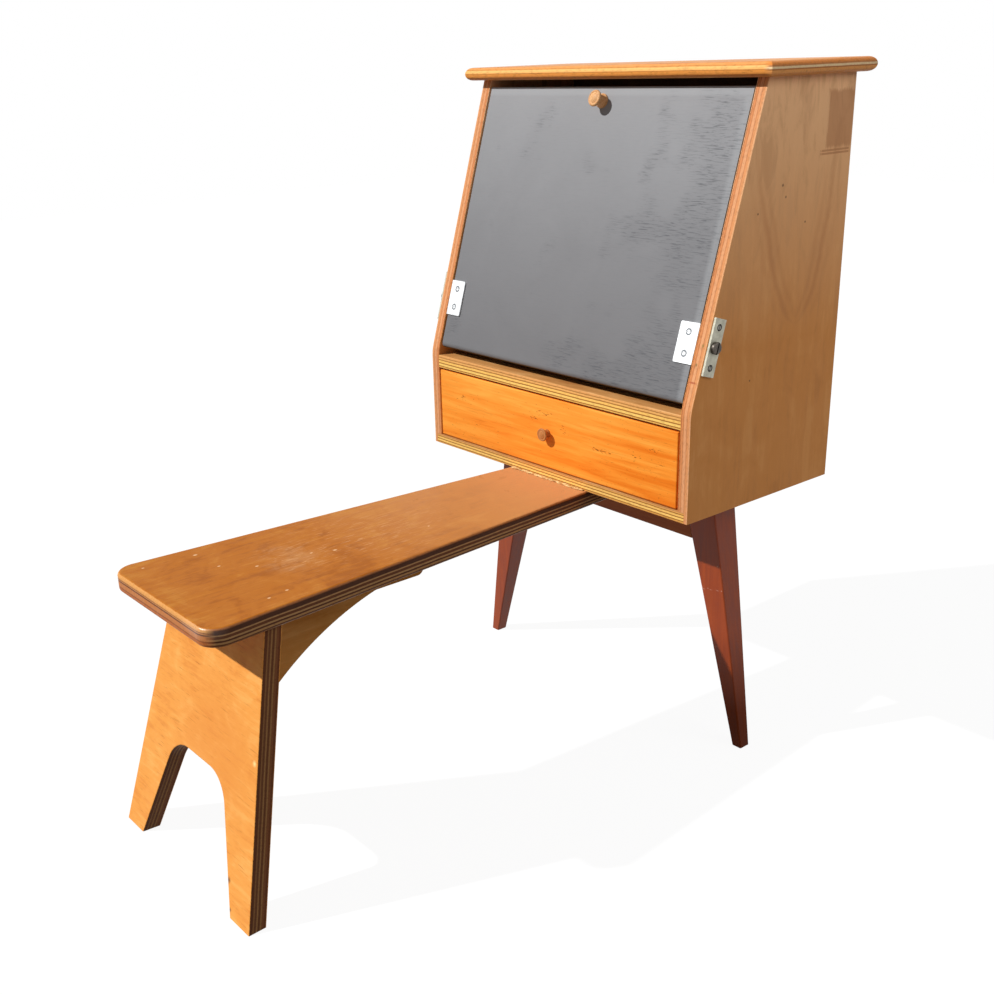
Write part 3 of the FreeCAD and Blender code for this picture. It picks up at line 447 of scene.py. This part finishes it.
side_plywood = plywood(
    "varnished_plywood_sides", (0, 90, 0), (0, 0, 0), SIDE_OUTSIDE - SIDE_INSIDE, SIDE_PLIES,
    ("#d38b4a", "#de9450", "#e69f5c"), grain_mm=(110, 12), gloss=(0.42, 0.56),
    paired=SIDE_INSIDE, marks=side_marks, edge_marks=SIDE_EDGE_MARKS)
top_plywood = plywood(
    "varnished_plywood_top", (0, 0, 0), (0, 0, -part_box("top_board")[0].z), TOP_THICK, TOP_PLIES,
    ("#c37a3a", "#d8904a", "#e8a761"), grain_mm=(120, 9), gloss=(0.32, 0.46), shine=0.05,
    ends=(TOP_END_PLIES, TOP_END))
shelf_plywood = plywood(
    "varnished_plywood_shelf", (0, 0, 0), (0, 0, -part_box("middle_shelf")[0].z), SHELF_THICK,
    SHELF_PLIES, ("#bf7f46", "#d09456", "#e0a86c"), grain_mm=(120, 9), gloss=(0.38, 0.52))
base_plywood = plywood(
    "varnished_plywood_base", (0, 0, 0), (0, 0, -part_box("bottom_board")[0].z), BASE_THICK,
    BASE_PLIES, ("#b5743a", "#c98a4c", "#daa062"), grain_mm=(120, 9), gloss=(0.38, 0.52))
seat_plywood = plywood(
    "varnished_plywood_seat", (0, 0, 90), (0, 0, -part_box("seat_board")[0].z), SEAT_THICK,
    SEAT_SIDE_PLIES, ("#a75f1f", "#ba6f28", "#c47f36"), grain_mm=(70, 11), gloss=(0.36, 0.52),
    shine=0.03, ends=(SEAT_END_PLIES, SEAT_END), pores=(16, 1.6, 0.66, "#8a4a1c"),
    marks=seat_wear, polished=SEAT_CORNER)
end_leg_plywood = plywood(
    "varnished_plywood_end_leg", (END_LEG_LEAN - 90, 0, 0), (0, 0, -END_LEG_DEPTH), END_LEG_THICK,
    END_LEG_PLIES, ("#e28f3e", "#eb9d49", "#f2ab5a"), grain_mm=(70, 7), gloss=(0.42, 0.56),
    shine=0.10, pores=(26, 1.2, 0.63, "#b06424"), marks=end_leg_wear)
gusset_plywood = plywood(
    "varnished_plywood_gusset", (0, 90, 90), (0, 0, GUSSET_THICK / 2), GUSSET_THICK, GUSSET_PLIES,
    ("#bd7e3a", "#c98c48", "#d49a58"), grain_mm=(110, 10), gloss=(0.42, 0.56), shine=0.04)


def blackboard_paint():
    """Slate-grey blackboard paint, rolled on and wiped for years: dead matt, mottled with chalk,
    paler towards the top with a painted sheen, with fine dark drag marks in patches, most of them
    down the right, and a rubbed rim. Behind the paint the board is bare plywood, and its lower
    edge is a darker olive brown."""
    paint = new_finish("rolled_blackboard_paint")
    place = add(paint, "TexCoord", "Object")
    # The flap stood upright: x across, y into the board from its painted face, z up from the knee.
    slant = Matrix.Rotation(radians(FLAP_SLANT), 3, "X")
    knee = slant @ Vector((0.0, CABINET_FRONT, KNEE_HEIGHT))
    upright = add(paint, "Mapping", "Vector", {
        "Vector": place, "Rotation": (radians(FLAP_SLANT), 0, 0), "Location": -knee})
    parts = add(paint, "SeparateXYZ", None, {"Vector": upright})
    chalk = add(paint, "TexNoise", "Fac", {
        "Vector": upright, "Scale": per_metre(110), "Detail": 5.0, "Roughness": 0.6,
        "Distortion": 0.6})
    # Paler towards the top: a painted sheen of the light on the slanted face.
    rise = add(paint, "MapRange", "Result", {
        "Value": parts.outputs["Z"], "From Min": 0.03, "From Max": FLAP_LENGTH, "To Max": 0.82})
    tone = add(paint, "Math", "Value", {0: chalk, 1: 0.24, 2: rise}, operation="MULTIPLY_ADD")
    slate = add(paint, "ValToRGB", "Color", {"Fac": tone},
                stops=("LINEAR", (0.0, "#727274"), (0.45, "#838385"), (1.0, "#9e9ea0")))

    # Drag marks: 18 mm long and 1.5 mm high, in patches about 80 mm across.
    drags = streaks(paint, upright, 18, 1.5, detail=3.0, wobble=0.6)
    patches = add(paint, "TexNoise", "Fac", {
        "Vector": upright, "Scale": per_metre(80), "Detail": 2.0, "Roughness": 0.6})
    rightward = add(paint, "MapRange", "Result", {
        "Value": parts.outputs["X"], "From Min": 0.04, "From Max": 0.20, "To Max": 0.26})
    patches = add(paint, "Math", "Value", {0: patches, 1: rightward}, operation="ADD")
    low = spot(paint, upright, (0.02, 0.0, 0.030), (0.11, 0.1, 0.045))
    patches = add(paint, "Math", "Value", {0: low, 1: 0.3, 2: patches}, operation="MULTIPLY_ADD")
    patches = add(paint, "ValToRGB", "Color", {"Fac": patches},
                  stops=("EASE", (0.56, 0.06), (0.78, 1.0)))
    lines = add(paint, "ValToRGB", "Color", {"Fac": drags},
                stops=("LINEAR", (0.51, 0.0), (0.66, 0.6)))
    wiped = add(paint, "Math", "Value", {0: lines, 1: patches}, operation="MULTIPLY")
    slate = stain(paint, slate, wiped, "#4e5054")
    haze = add(paint, "Math", "Value", {0: patches, 1: 0.10}, operation="MULTIPLY")
    slate = stain(paint, slate, haze, "#55575b")

    # The rim: rubbed paler along the upper edge and down the right one.
    top_rim = add(paint, "MapRange", "Result", {
        "Value": parts.outputs["Z"], "From Min": FLAP_LENGTH - 0.013,
        "From Max": FLAP_LENGTH - 0.009, "To Max": 0.45})
    right_rim = add(paint, "MapRange", "Result", {
        "Value": parts.outputs["X"], "From Min": 0.219, "From Max": 0.225, "To Max": 0.35})
    rim = add(paint, "Math", "Value", {0: top_rim, 1: right_rim}, operation="MAXIMUM")
    slate = stain(paint, slate, rim, "#a9abad")

    # Wood behind the paint, from 12.5 mm into the board, and a darker olive-brown lower edge.
    figure = streaks(paint, upright, 120, 9, detail=5.0, wobble=0.4)
    wood = add(paint, "ValToRGB", "Color", {"Fac": figure},
               stops=("EASE", (0.30, "#b0743a"), (0.5, "#bf8548"), (0.70, "#ca9458")))
    bare = add(paint, "MapRange", "Result", {
        "Value": parts.outputs["Y"], "From Min": 0.0125, "From Max": 0.0135})
    colour = add(paint, "Mix", "Result_Color", {
        "Factor_Float": bare, "A_Color": slate, "B_Color": wood}, data_type="RGBA")
    under = add(paint, "MapRange", "Result", {
        "Value": parts.outputs["Z"], "From Min": 0.0101, "From Max": 0.0096})
    colour = stain(paint, colour, under, "#6a5638")
    rough = add(paint, "MapRange", "Result", {
        "Value": drags, "From Min": 0.3, "From Max": 0.7, "To Min": 0.62, "To Max": 0.78})
    height = add(paint, "Math", "Value", {0: drags, 1: 0.5, 2: figure}, operation="MULTIPLY_ADD")
    return close(paint, colour, rough, height, relief_mm=0.12, specular=0.03)


# Patches of resin specks on the drawer's front, in metres: x, z, and half their width and height.
RESIN_PATCHES = ((-0.008, 0.448, 0.028, 0.006), (-0.028, 0.438, 0.014, 0.005),
                 (0.030, 0.434, 0.008, 0.013), (0.100, 0.4185, 0.026, 0.005),
                 (0.191, 0.440, 0.020, 0.006), (0.160, 0.423, 0.006, 0.010),
                 (-0.181, 0.438, 0.008, 0.009), (0.206, 0.424, 0.007, 0.006))
RESIN_DEPTH = 0.01


def pine():
    """Plain-sawn pine under orange shellac: bright and yellow, redder towards the bottom right,
    with soft darker bands of late wood along the board, a few dark resin specks, and a painted
    shade along its lower edge for the shadowed gap beneath it."""
    wood = new_finish("shellacked_pine")
    place = add(wood, "TexCoord", "Object")
    parts = add(wood, "SeparateXYZ", None, {"Vector": place})
    bands = streaks(wood, place, 190, 11, detail=4.0, wobble=0.4)
    rise = add(wood, "MapRange", "Result", {
        "Value": parts.outputs["Z"], "From Min": 0.372, "From Max": 0.455,
        "To Min": -0.09, "To Max": 0.07})
    tone = add(wood, "Math", "Value", {0: bands, 1: rise}, operation="ADD")
    rightward = add(wood, "MapRange", "Result", {
        "Value": parts.outputs["X"], "From Min": 0.08, "From Max": 0.23, "To Max": -0.09})
    tone = add(wood, "Math", "Value", {0: tone, 1: rightward}, operation="ADD")
    colour = add(wood, "ValToRGB", "Color", {"Fac": tone}, stops=(
        "EASE", (0.28, "#ec7c20"), (0.44, "#f79130"), (0.54, "#fb9c3a"), (0.70, "#ffad49")))
    fibres = streaks(wood, place, 50, 2.0, detail=3.0, wobble=0.2)
    lines = add(wood, "ValToRGB", "Color", {"Fac": fibres},
                stops=("LINEAR", (0.26, 0.84), (0.44, 1.0)))
    colour = add(wood, "Mix", "Result_Color", {
        "Factor_Float": 1.0, "A_Color": colour, "B_Color": lines},
        data_type="RGBA", blend_type="MULTIPLY")
    specks = streaks(wood, place, 5, 1.3, detail=2.0, wobble=0.4)
    for x, z, half_x, half_z in RESIN_PATCHES:
        patch = spot(wood, place, (x, DRAWER_FACE, z), (half_x, RESIN_DEPTH, half_z))
        specks = add(wood, "Math", "Value", {0: patch, 1: 0.2, 2: specks},
                     operation="MULTIPLY_ADD")
    specks = add(wood, "ValToRGB", "Color", {"Fac": specks},
                 stops=("LINEAR", (0.68, 0.0), (0.75, 0.85)))
    colour = stain(wood, colour, specks, "#8a4415")
    # A painted shade along the lower edge, for the shadowed gap between the drawer and the board
    # under it.
    painted_gap_shade = add(wood, "MapRange", "Result", {
        "Value": parts.outputs["Z"], "From Min": DRAWER_FOOT + 0.0026,
        "From Max": DRAWER_FOOT + 0.0012, "To Max": 0.85})
    colour = stain(wood, colour, painted_gap_shade, "#7a2c10")
    rough = add(wood, "MapRange", "Result", {
        "Value": bands, "From Min": 0.3, "From Max": 0.7, "To Min": 0.36, "To Max": 0.5})
    return close(wood, colour, rough, fibres, relief_mm=0.15, specular=0.06)


def plain_wood(name, colours, grain_mm, turn, gloss):
    """Unfinished or lightly oiled wood: dry, with straight grain and little shine."""
    wood = new_finish(name)
    place = add(wood, "TexCoord", "Object")
    lying = add(wood, "Mapping", "Vector", {
        "Vector": place, "Rotation": [radians(a) for a in turn]})
    grain = streaks(wood, lying, *grain_mm, detail=5.0)
    dark, middle, pale = colours
    colour = add(wood, "ValToRGB", "Color", {"Fac": grain},
                 stops=("EASE", (0.32, dark), (0.5, middle), (0.68, pale)))
    low, high = gloss
    rough = add(wood, "MapRange", "Result", {
        "Value": grain, "From Min": 0.3, "From Max": 0.7, "To Min": low, "To Max": high})
    return close(wood, colour, rough, grain, relief_mm=0.2, specular=0.15)


def hardboard():
    """Pressed wood fibre: even brown, finely mottled by its fibres, with a dull waxy face."""
    sheet = new_finish("tempered_hardboard")
    place = add(sheet, "TexCoord", "Object")
    fibres = add(sheet, "TexNoise", "Fac", {
        "Vector": place, "Scale": per_metre(3), "Detail": 5.0, "Roughness": 0.7})
    cloud = add(sheet, "TexNoise", "Fac", {
        "Vector": place, "Scale": per_metre(80), "Detail": 3.0, "Roughness": 0.5})
    tone = add(sheet, "Math", "Value", {0: cloud, 1: 0.6, 2: fibres}, operation="MULTIPLY_ADD")
    colour = add(sheet, "ValToRGB", "Color", {"Fac": tone}, stops=(
        "LINEAR", (0.55, "#6e4a2c"), (0.8, "#80583a"), (1.05, "#8f6746")))
    rough = add(sheet, "MapRange", "Result", {
        "Value": fibres, "From Min": 0.3, "From Max": 0.7, "To Min": 0.5, "To Max": 0.68})
    return close(sheet, colour, rough, fibres, relief_mm=0.15, specular=0.2)


# Chips and one broken scratch on the front of the right leg, in metres: x, z, and half their width
# and height. The leg's front, and how deep they reach.
LEG_CHIPS = ((0.1904, 0.2223, 0.0012, 0.0010), (0.1998, 0.2238, 0.0010, 0.0012),
             (0.1925, 0.2208, 0.0035, 0.0006), (0.2045, 0.2232, 0.0030, 0.0005),
             (0.2160, 0.2255, 0.0035, 0.0006), (0.2227, 0.2268, 0.0013, 0.0011),
             (0.2156, 0.1411, 0.0014, 0.0016), (0.2149, 0.2606, 0.0010, 0.0014))
LEG_FRONT, LEG_CHIP_DEPTH = 0.26, 0.02


def brown_paint(name, colours, turn, shine, chips=()):
    """Red-brown paint on planed wood, brushed along the piece: smooth and a little shiny, with
    faint brush lines and clouds of wear. Where it has chips, they lie on the right leg, which
    also has a painted shade towards its foot, darker and duller, for the seat's shadow there."""
    paint = new_finish(name)
    place = add(paint, "TexCoord", "Object")
    brushed = add(paint, "Mapping", "Vector", {
        "Vector": place, "Rotation": [radians(a) for a in turn]})
    lines = streaks(paint, brushed, 120, 5, detail=4.0)
    cloud = add(paint, "TexNoise", "Fac", {
        "Vector": place, "Scale": per_metre(60), "Detail": 3.0, "Roughness": 0.6})
    tone = add(paint, "Math", "Value", {0: cloud, 1: 0.5, 2: lines}, operation="MULTIPLY_ADD")
    dark, middle, pale = colours
    colour = add(paint, "ValToRGB", "Color", {"Fac": tone},
                 stops=("LINEAR", (0.52, dark), (0.75, middle), (0.98, pale)))
    for x, z, half_x, half_z in chips:
        chip = spot(paint, place, (x, LEG_FRONT, z), (half_x, LEG_CHIP_DEPTH, half_z))
        colour = stain(paint, colour, chip, "#c99480")
    # Towards the right leg's foot: a painted shade, darker and duller, for the seat's shadow.
    if chips:
        parts = add(paint, "SeparateXYZ", None, {"Vector": place})
        low = add(paint, "MapRange", "Result", {
            "Value": parts.outputs["Z"], "From Min": 0.17, "From Max": 0.03, "To Max": 0.6})
        on_right = add(paint, "Math", "Value", {0: parts.outputs["X"], 1: 0.0},
                       operation="GREATER_THAN")
        painted_foot_shade = add(paint, "Math", "Value", {0: low, 1: on_right}, operation="MULTIPLY")
        colour = stain(paint, colour, painted_foot_shade, "#3c1c0c")
        shine = add(paint, "MapRange", "Result", {
            "Value": painted_foot_shade, "From Max": 0.5, "To Min": shine, "To Max": 0.06})
    rough = add(paint, "MapRange", "Result", {
        "Value": tone, "From Min": 0.5, "From Max": 1.0, "To Min": 0.36, "To Max": 0.5})
    return close(paint, colour, rough, lines, relief_mm=0.1, specular=shine)


def metal(name, colours, gloss, mottle_mm, metallic=1.0):
    """Bare plated or blackened steel: a hard sheen broken by fine mottling and scuffs."""
    steel = new_finish(name)
    place = add(steel, "TexCoord", "Object")
    mottle = add(steel, "TexNoise", "Fac", {
        "Vector": place, "Scale": per_metre(mottle_mm), "Detail": 4.0, "Roughness": 0.6})
    scuff = add(steel, "TexNoise", "Fac", {
        "Vector": place, "Scale": per_metre(mottle_mm / 4), "Detail": 3.0, "Roughness": 0.6})
    dark, pale = colours
    colour = add(steel, "ValToRGB", "Color", {"Fac": mottle},
                 stops=("LINEAR", (0.35, dark), (0.65, pale)))
    low, high = gloss
    rough = add(steel, "MapRange", "Result", {
        "Value": scuff, "From Min": 0.3, "From Max": 0.7, "To Min": low, "To Max": high})
    return close(steel, colour, rough, scuff, relief_mm=0.05, metallic=metallic)


# Where the screws' heads lie on the right side, in metres, and how far the painted shade
# round a head's rim reaches.
BRACKET_SCREWS = ((0.2185, 0.1788, 0.5881), (0.2185, 0.1713, 0.5632))
PLATE_SCREWS = ((0.253, 0.1931, 0.5955), (0.253, 0.1790, 0.5492))
SCREW_SHADED_RIM = 0.0043


def screw_heads(name, places, rim, middle):
    """Slotted steel screw heads at these places on both sides: dark round the rim, a painted
    shade of the gap round each head, and rubbed bright in the middle."""
    steel = new_finish(name)
    place = add(steel, "TexCoord", "Object")
    folded = add(steel, "VectorMath", "Vector", {0: place}, operation="ABSOLUTE")
    upper, lower = (spot(steel, folded, centre, [SCREW_SHADED_RIM] * 3) for centre in places)
    nearest = add(steel, "Math", "Value", {0: upper, 1: lower}, operation="MAXIMUM")
    scuff = add(steel, "TexNoise", "Fac", {
        "Vector": place, "Scale": per_metre(2), "Detail": 3.0, "Roughness": 0.6})
    # Dark towards each head's rim: a painted shade of the gap round it.
    worn = add(steel, "Math", "Value", {0: scuff, 1: 0.3, 2: nearest}, operation="MULTIPLY_ADD")
    colour = add(steel, "ValToRGB", "Color", {"Fac": worn},
                 stops=("LINEAR", (0.40, rim), (0.72, middle)))
    rough = add(steel, "MapRange", "Result", {
        "Value": scuff, "From Min": 0.3, "From Max": 0.7, "To Min": 0.34, "To Max": 0.5})
    return close(steel, colour, rough, scuff, relief_mm=0.05, metallic=0.8)


# Colours from dark to pale, and the turns that lay a piece's length along x.
SOFTWOOD = ("#c79a62", "#d8b07a", "#e4c08c")
PALE_BEECH = ("#c98f5a", "#dea873", "#ecbd8c")
DARK_BEECH = ("#a5652f", "#b97640", "#c98a54")
LEG_PAINT = ("#823006", "#903809", "#9b4112")
# The rail's paint is paler and browner than the legs': partly its own coat, partly painted light
# lifting the cabinet's shade on it.
RAIL_PAINT = ("#a0522a", "#ac5d30", "#b66a3c")
FORWARD, CROSSWISE, UPRIGHT = (0, 0, 90), (0, 0, 0), (0, 90, 0)
FINISHES = {
    side_plywood: ("side_panel_right", "side_panel_left"),
    top_plywood: ("top_board",),
    shelf_plywood: ("middle_shelf",),
    base_plywood: ("bottom_board",),
    seat_plywood: ("seat_board",),
    end_leg_plywood: ("seat_end_leg",),
    gusset_plywood: ("seat_gusset",),
    blackboard_paint(): ("flap_board",),
    pine(): ("drawer_front",),
    plain_wood("plain_softwood_lengthwise", SOFTWOOD, (120, 5), FORWARD, (0.6, 0.75)): (
        "drawer_side_right", "drawer_side_left"),
    plain_wood("plain_softwood_crosswise", SOFTWOOD, (120, 5), CROSSWISE, (0.6, 0.75)): (
        "drawer_back",),
    plain_wood("plain_softwood_upright", SOFTWOOD, (120, 5), UPRIGHT, (0.6, 0.75)): (
        "stop_cleat_right", "stop_cleat_left"),
    plain_wood("turned_beech_pale", PALE_BEECH, (14, 1.6), FORWARD, (0.42, 0.55)): (
        "flap_knob",),
    plain_wood("turned_beech_dark", DARK_BEECH, (14, 1.6), FORWARD, (0.38, 0.5)): (
        "drawer_knob",),
    hardboard(): ("back_panel", "drawer_bottom"),
    brown_paint("red_brown_gloss_paint", LEG_PAINT, UPRIGHT, shine=0.36, chips=LEG_CHIPS): (
        "leg_right", "leg_left"),
    brown_paint("brown_gloss_paint", RAIL_PAINT, CROSSWISE, shine=0.14): ("leg_rail",),
    metal("bright_zinc_plated_steel", ("#dcdee0", "#f4f5f5"), (0.28, 0.42), mottle_mm=9): (
        "flap_bracket_right", "flap_bracket_left"),
    metal("galvanised_steel", ("#a9a695", "#c3c0ae"), (0.36, 0.5), mottle_mm=7, metallic=0.5): (
        "pivot_plate_right", "pivot_plate_left"),
    # The first colour of each is the painted shade round a head's rim.
    screw_heads("zinc_screw_heads", BRACKET_SCREWS, "#63676b", "#d8dadb"): ("bracket_screws",),
    screw_heads("blackened_screw_heads", PLATE_SCREWS, "#2e2a28", "#8f8b84"): ("plate_screws",),
    metal("blackened_steel", ("#4a4540", "#655e57"), (0.36, 0.52), mottle_mm=4): (
        "pivot_bolt_right", "pivot_bolt_left", "cleat_screws", "leg_screws",
        "seat_screws", "back_nails", "flap_knob_screw", "drawer_knob_screw"),
}
for finish, dressed in FINISHES.items():
    for name in dressed:
        for holder in nodes[name].material_slots:
            holder.material = finish


def dried_glue():
    """Squeezed-out wood glue gone pale and gritty with dust."""
    glue = new_finish("dried_wood_glue")
    place = add(glue, "TexCoord", "Object")
    grit = add(glue, "TexNoise", "Fac", {
        "Vector": place, "Scale": per_metre(5), "Detail": 4.0, "Roughness": 0.7})
    colour = add(glue, "ValToRGB", "Color", {"Fac": grit}, stops=(
        "LINEAR", (0.35, "#b0783e"), (0.5, "#d8ae74"), (0.65, "#eed49c")))
    rough = add(glue, "MapRange", "Result", {
        "Value": grit, "From Min": 0.3, "From Max": 0.7, "To Min": 0.55, "To Max": 0.8})
    return close(glue, colour, rough, grit, relief_mm=0.3, specular=0.2)


def glue_line():
    """The ragged bead of glue along the joint of the seat and the cabinet's foot."""
    deep, high, half_width = 0.005, 0.0022, 0.0715
    bpy.ops.object.select_all(action="DESELECT")
    bpy.ops.mesh.primitive_cube_add(
        size=1.0, location=(0.0, CABINET_FRONT - deep / 2, SEAT_TOP + high / 2),
        scale=(2 * half_width, deep, high))
    bead = bpy.context.object
    bead.name = "seat_glue_line"
    bpy.ops.object.transform_apply(location=True, rotation=True, scale=True)
    # Its four long edges are cut up, and what lies away from the joint is knocked about.
    bpy.ops.object.mode_set(mode="EDIT")
    bpy.ops.mesh.select_mode(type="EDGE")
    bpy.ops.mesh.select_all(action="DESELECT")
    bpy.ops.object.mode_set(mode="OBJECT")
    for edge in bead.data.edges:
        start, end = (bead.data.vertices[i].co for i in edge.vertices)
        edge.select = abs(end.x - start.x) > half_width
    bpy.ops.object.mode_set(mode="EDIT")
    bpy.ops.mesh.subdivide(number_cuts=47)
    bpy.ops.mesh.select_mode(type="VERT")
    bpy.ops.mesh.select_all(action="DESELECT")
    bpy.ops.object.mode_set(mode="OBJECT")
    for corner in bead.data.vertices:
        corner.select = corner.co.y < CABINET_FRONT - deep / 2 or corner.co.z > SEAT_TOP + high / 2
    bpy.ops.object.mode_set(mode="EDIT")
    bpy.ops.transform.vertex_random(offset=0.0016, uniform=0.7, seed=7)
    bpy.ops.object.mode_set(mode="OBJECT")
    rounding = bead.modifiers.new("rounding", "SUBSURF")
    rounding.levels = rounding.render_levels = 2
    bpy.ops.object.modifier_apply(modifier="rounding")
    bpy.ops.object.shade_smooth()
    bead.data.materials.append(dried_glue())
    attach(bead, "cabinet_and_bench")


glue_line()

# Studio, in metres and degrees: a pale floor that keeps a faint shadow, a hard low sun from the
# front left, and a weak light from the right for the cabinet's shaded side. Each glow has a
# strength for the light that it gives the desk, and one for what the camera sees of it.
WHITE = (1.0, 1.0, 1.0, 1.0)
FLOOR_GREY = (0.10, 0.10, 0.10, 1.0)
FLOOR_SIZE, FLOOR_DROP = 14.0, 0.0002
FLOOR_GLOW, SKY_GLOW = (0.10, 0.93), (0.26, 1.0)
SUN_STRENGTH, SUN_WIDTH = 3.7, 1.0
SUN_WAY = Vector((0.3989, 0.6716, -0.6246))
FILL_POWER, FILL_WIDTH, FILL_HEIGHT = 8.8, 1.2, 1.0
FILL_PLACE, FILL_AIM = Vector((1.75, 0.8, 1.7)), Vector((0.25, 0.3, 0.7))

# The photo's camera, in metres, degrees and millimetres: seen from the front right, a little from
# above, and tipped to the right.
CAMERA_PLACE = (1.18011, -0.94605, 0.90485)
CAMERA_AZIMUTH, CAMERA_ELEVATION, CAMERA_TIP = 51.972, 21.148, -2.088
CAMERA_SENSOR, CAMERA_LENS = 36.0, 44.534
CAMERA_SHIFT = (0.0478, 0.0344)
CAMERA_NEAREST = 0.05


def seen_white(finish, glow):
    """A glow's strength: its second value where the camera sees it, straight or mirrored or through
    something, and its first one elsewhere."""
    seen = add(finish, "LightPath", None)
    shown = add(finish, "Math", "Value", {
        0: seen.outputs["Is Camera Ray"], 1: seen.outputs["Is Glossy Ray"]}, operation="MAXIMUM")
    shown = add(finish, "Math", "Value", {
        0: shown, 1: seen.outputs["Is Transmission Ray"]}, operation="MAXIMUM")
    given, seen_as = glow
    return add(finish, "MapRange", "Result", {"Value": shown, "To Min": given, "To Max": seen_as})


def hang_lamp(light, place, way):
    """Hangs a lamp in its place, shining that way."""
    lamp = bpy.data.objects.new(light.name, light)
    lamp.location = place
    lamp.rotation_mode = "QUATERNION"
    lamp.rotation_quaternion = way.to_track_quat("-Z", "Y")
    scene.collection.objects.link(lamp)


def studio():
    """The paper floor, the white surroundings, the sun and the fill light."""
    bpy.ops.object.select_all(action="DESELECT")
    bpy.ops.mesh.primitive_plane_add(
        size=FLOOR_SIZE, location=(0.0, 0.0, cad_box[0].z - FLOOR_DROP))
    floor = bpy.context.object
    floor.name = "studio_floor"
    paper = new_finish("white_studio_paper")
    lit = add(paper, "BsdfDiffuse", "BSDF", {"Color": FLOOR_GREY})
    bright = add(paper, "Emission", "Emission", {
        "Color": WHITE, "Strength": seen_white(paper, FLOOR_GLOW)})
    both = add(paper, "AddShader", "Shader", {0: lit, 1: bright})
    add(paper, "OutputMaterial", None, {"Surface": both})
    floor.data.materials.append(paper)

    world = bpy.data.worlds.new("studio")
    world.use_nodes = True
    world.node_tree.nodes.clear()
    scene.world = world
    sky = add(world, "Background", "Background", {
        "Color": WHITE, "Strength": seen_white(world, SKY_GLOW)})
    add(world, "OutputWorld", None, {"Surface": sky})

    sun = bpy.data.lights.new("low_sun", "SUN")
    sun.energy = SUN_STRENGTH
    sun.angle = radians(SUN_WIDTH)
    hang_lamp(sun, (0.0, 0.0, 0.0), SUN_WAY)
    fill = bpy.data.lights.new("right_fill", "AREA")
    fill.shape = "RECTANGLE"
    fill.size, fill.size_y = FILL_WIDTH, FILL_HEIGHT
    fill.energy = FILL_POWER
    hang_lamp(fill, FILL_PLACE, FILL_AIM - FILL_PLACE)


def photo_camera():
    """The camera in the photo's place, with the photo's framing."""
    camera = bpy.data.cameras.new("camera")
    camera.sensor_width = CAMERA_SENSOR
    camera.lens = CAMERA_LENS
    camera.shift_x, camera.shift_y = CAMERA_SHIFT
    camera.clip_start = CAMERA_NEAREST
    stand = bpy.data.objects.new("camera", camera)
    turned = (Matrix.Rotation(radians(CAMERA_AZIMUTH), 4, "Z")
              @ Matrix.Rotation(radians(90 - CAMERA_ELEVATION), 4, "X")
              @ Matrix.Rotation(radians(CAMERA_TIP), 4, "Z"))
    stand.matrix_world = Matrix.Translation(CAMERA_PLACE) @ turned
    scene.collection.objects.link(stand)
    scene.camera = stand


studio()
photo_camera()
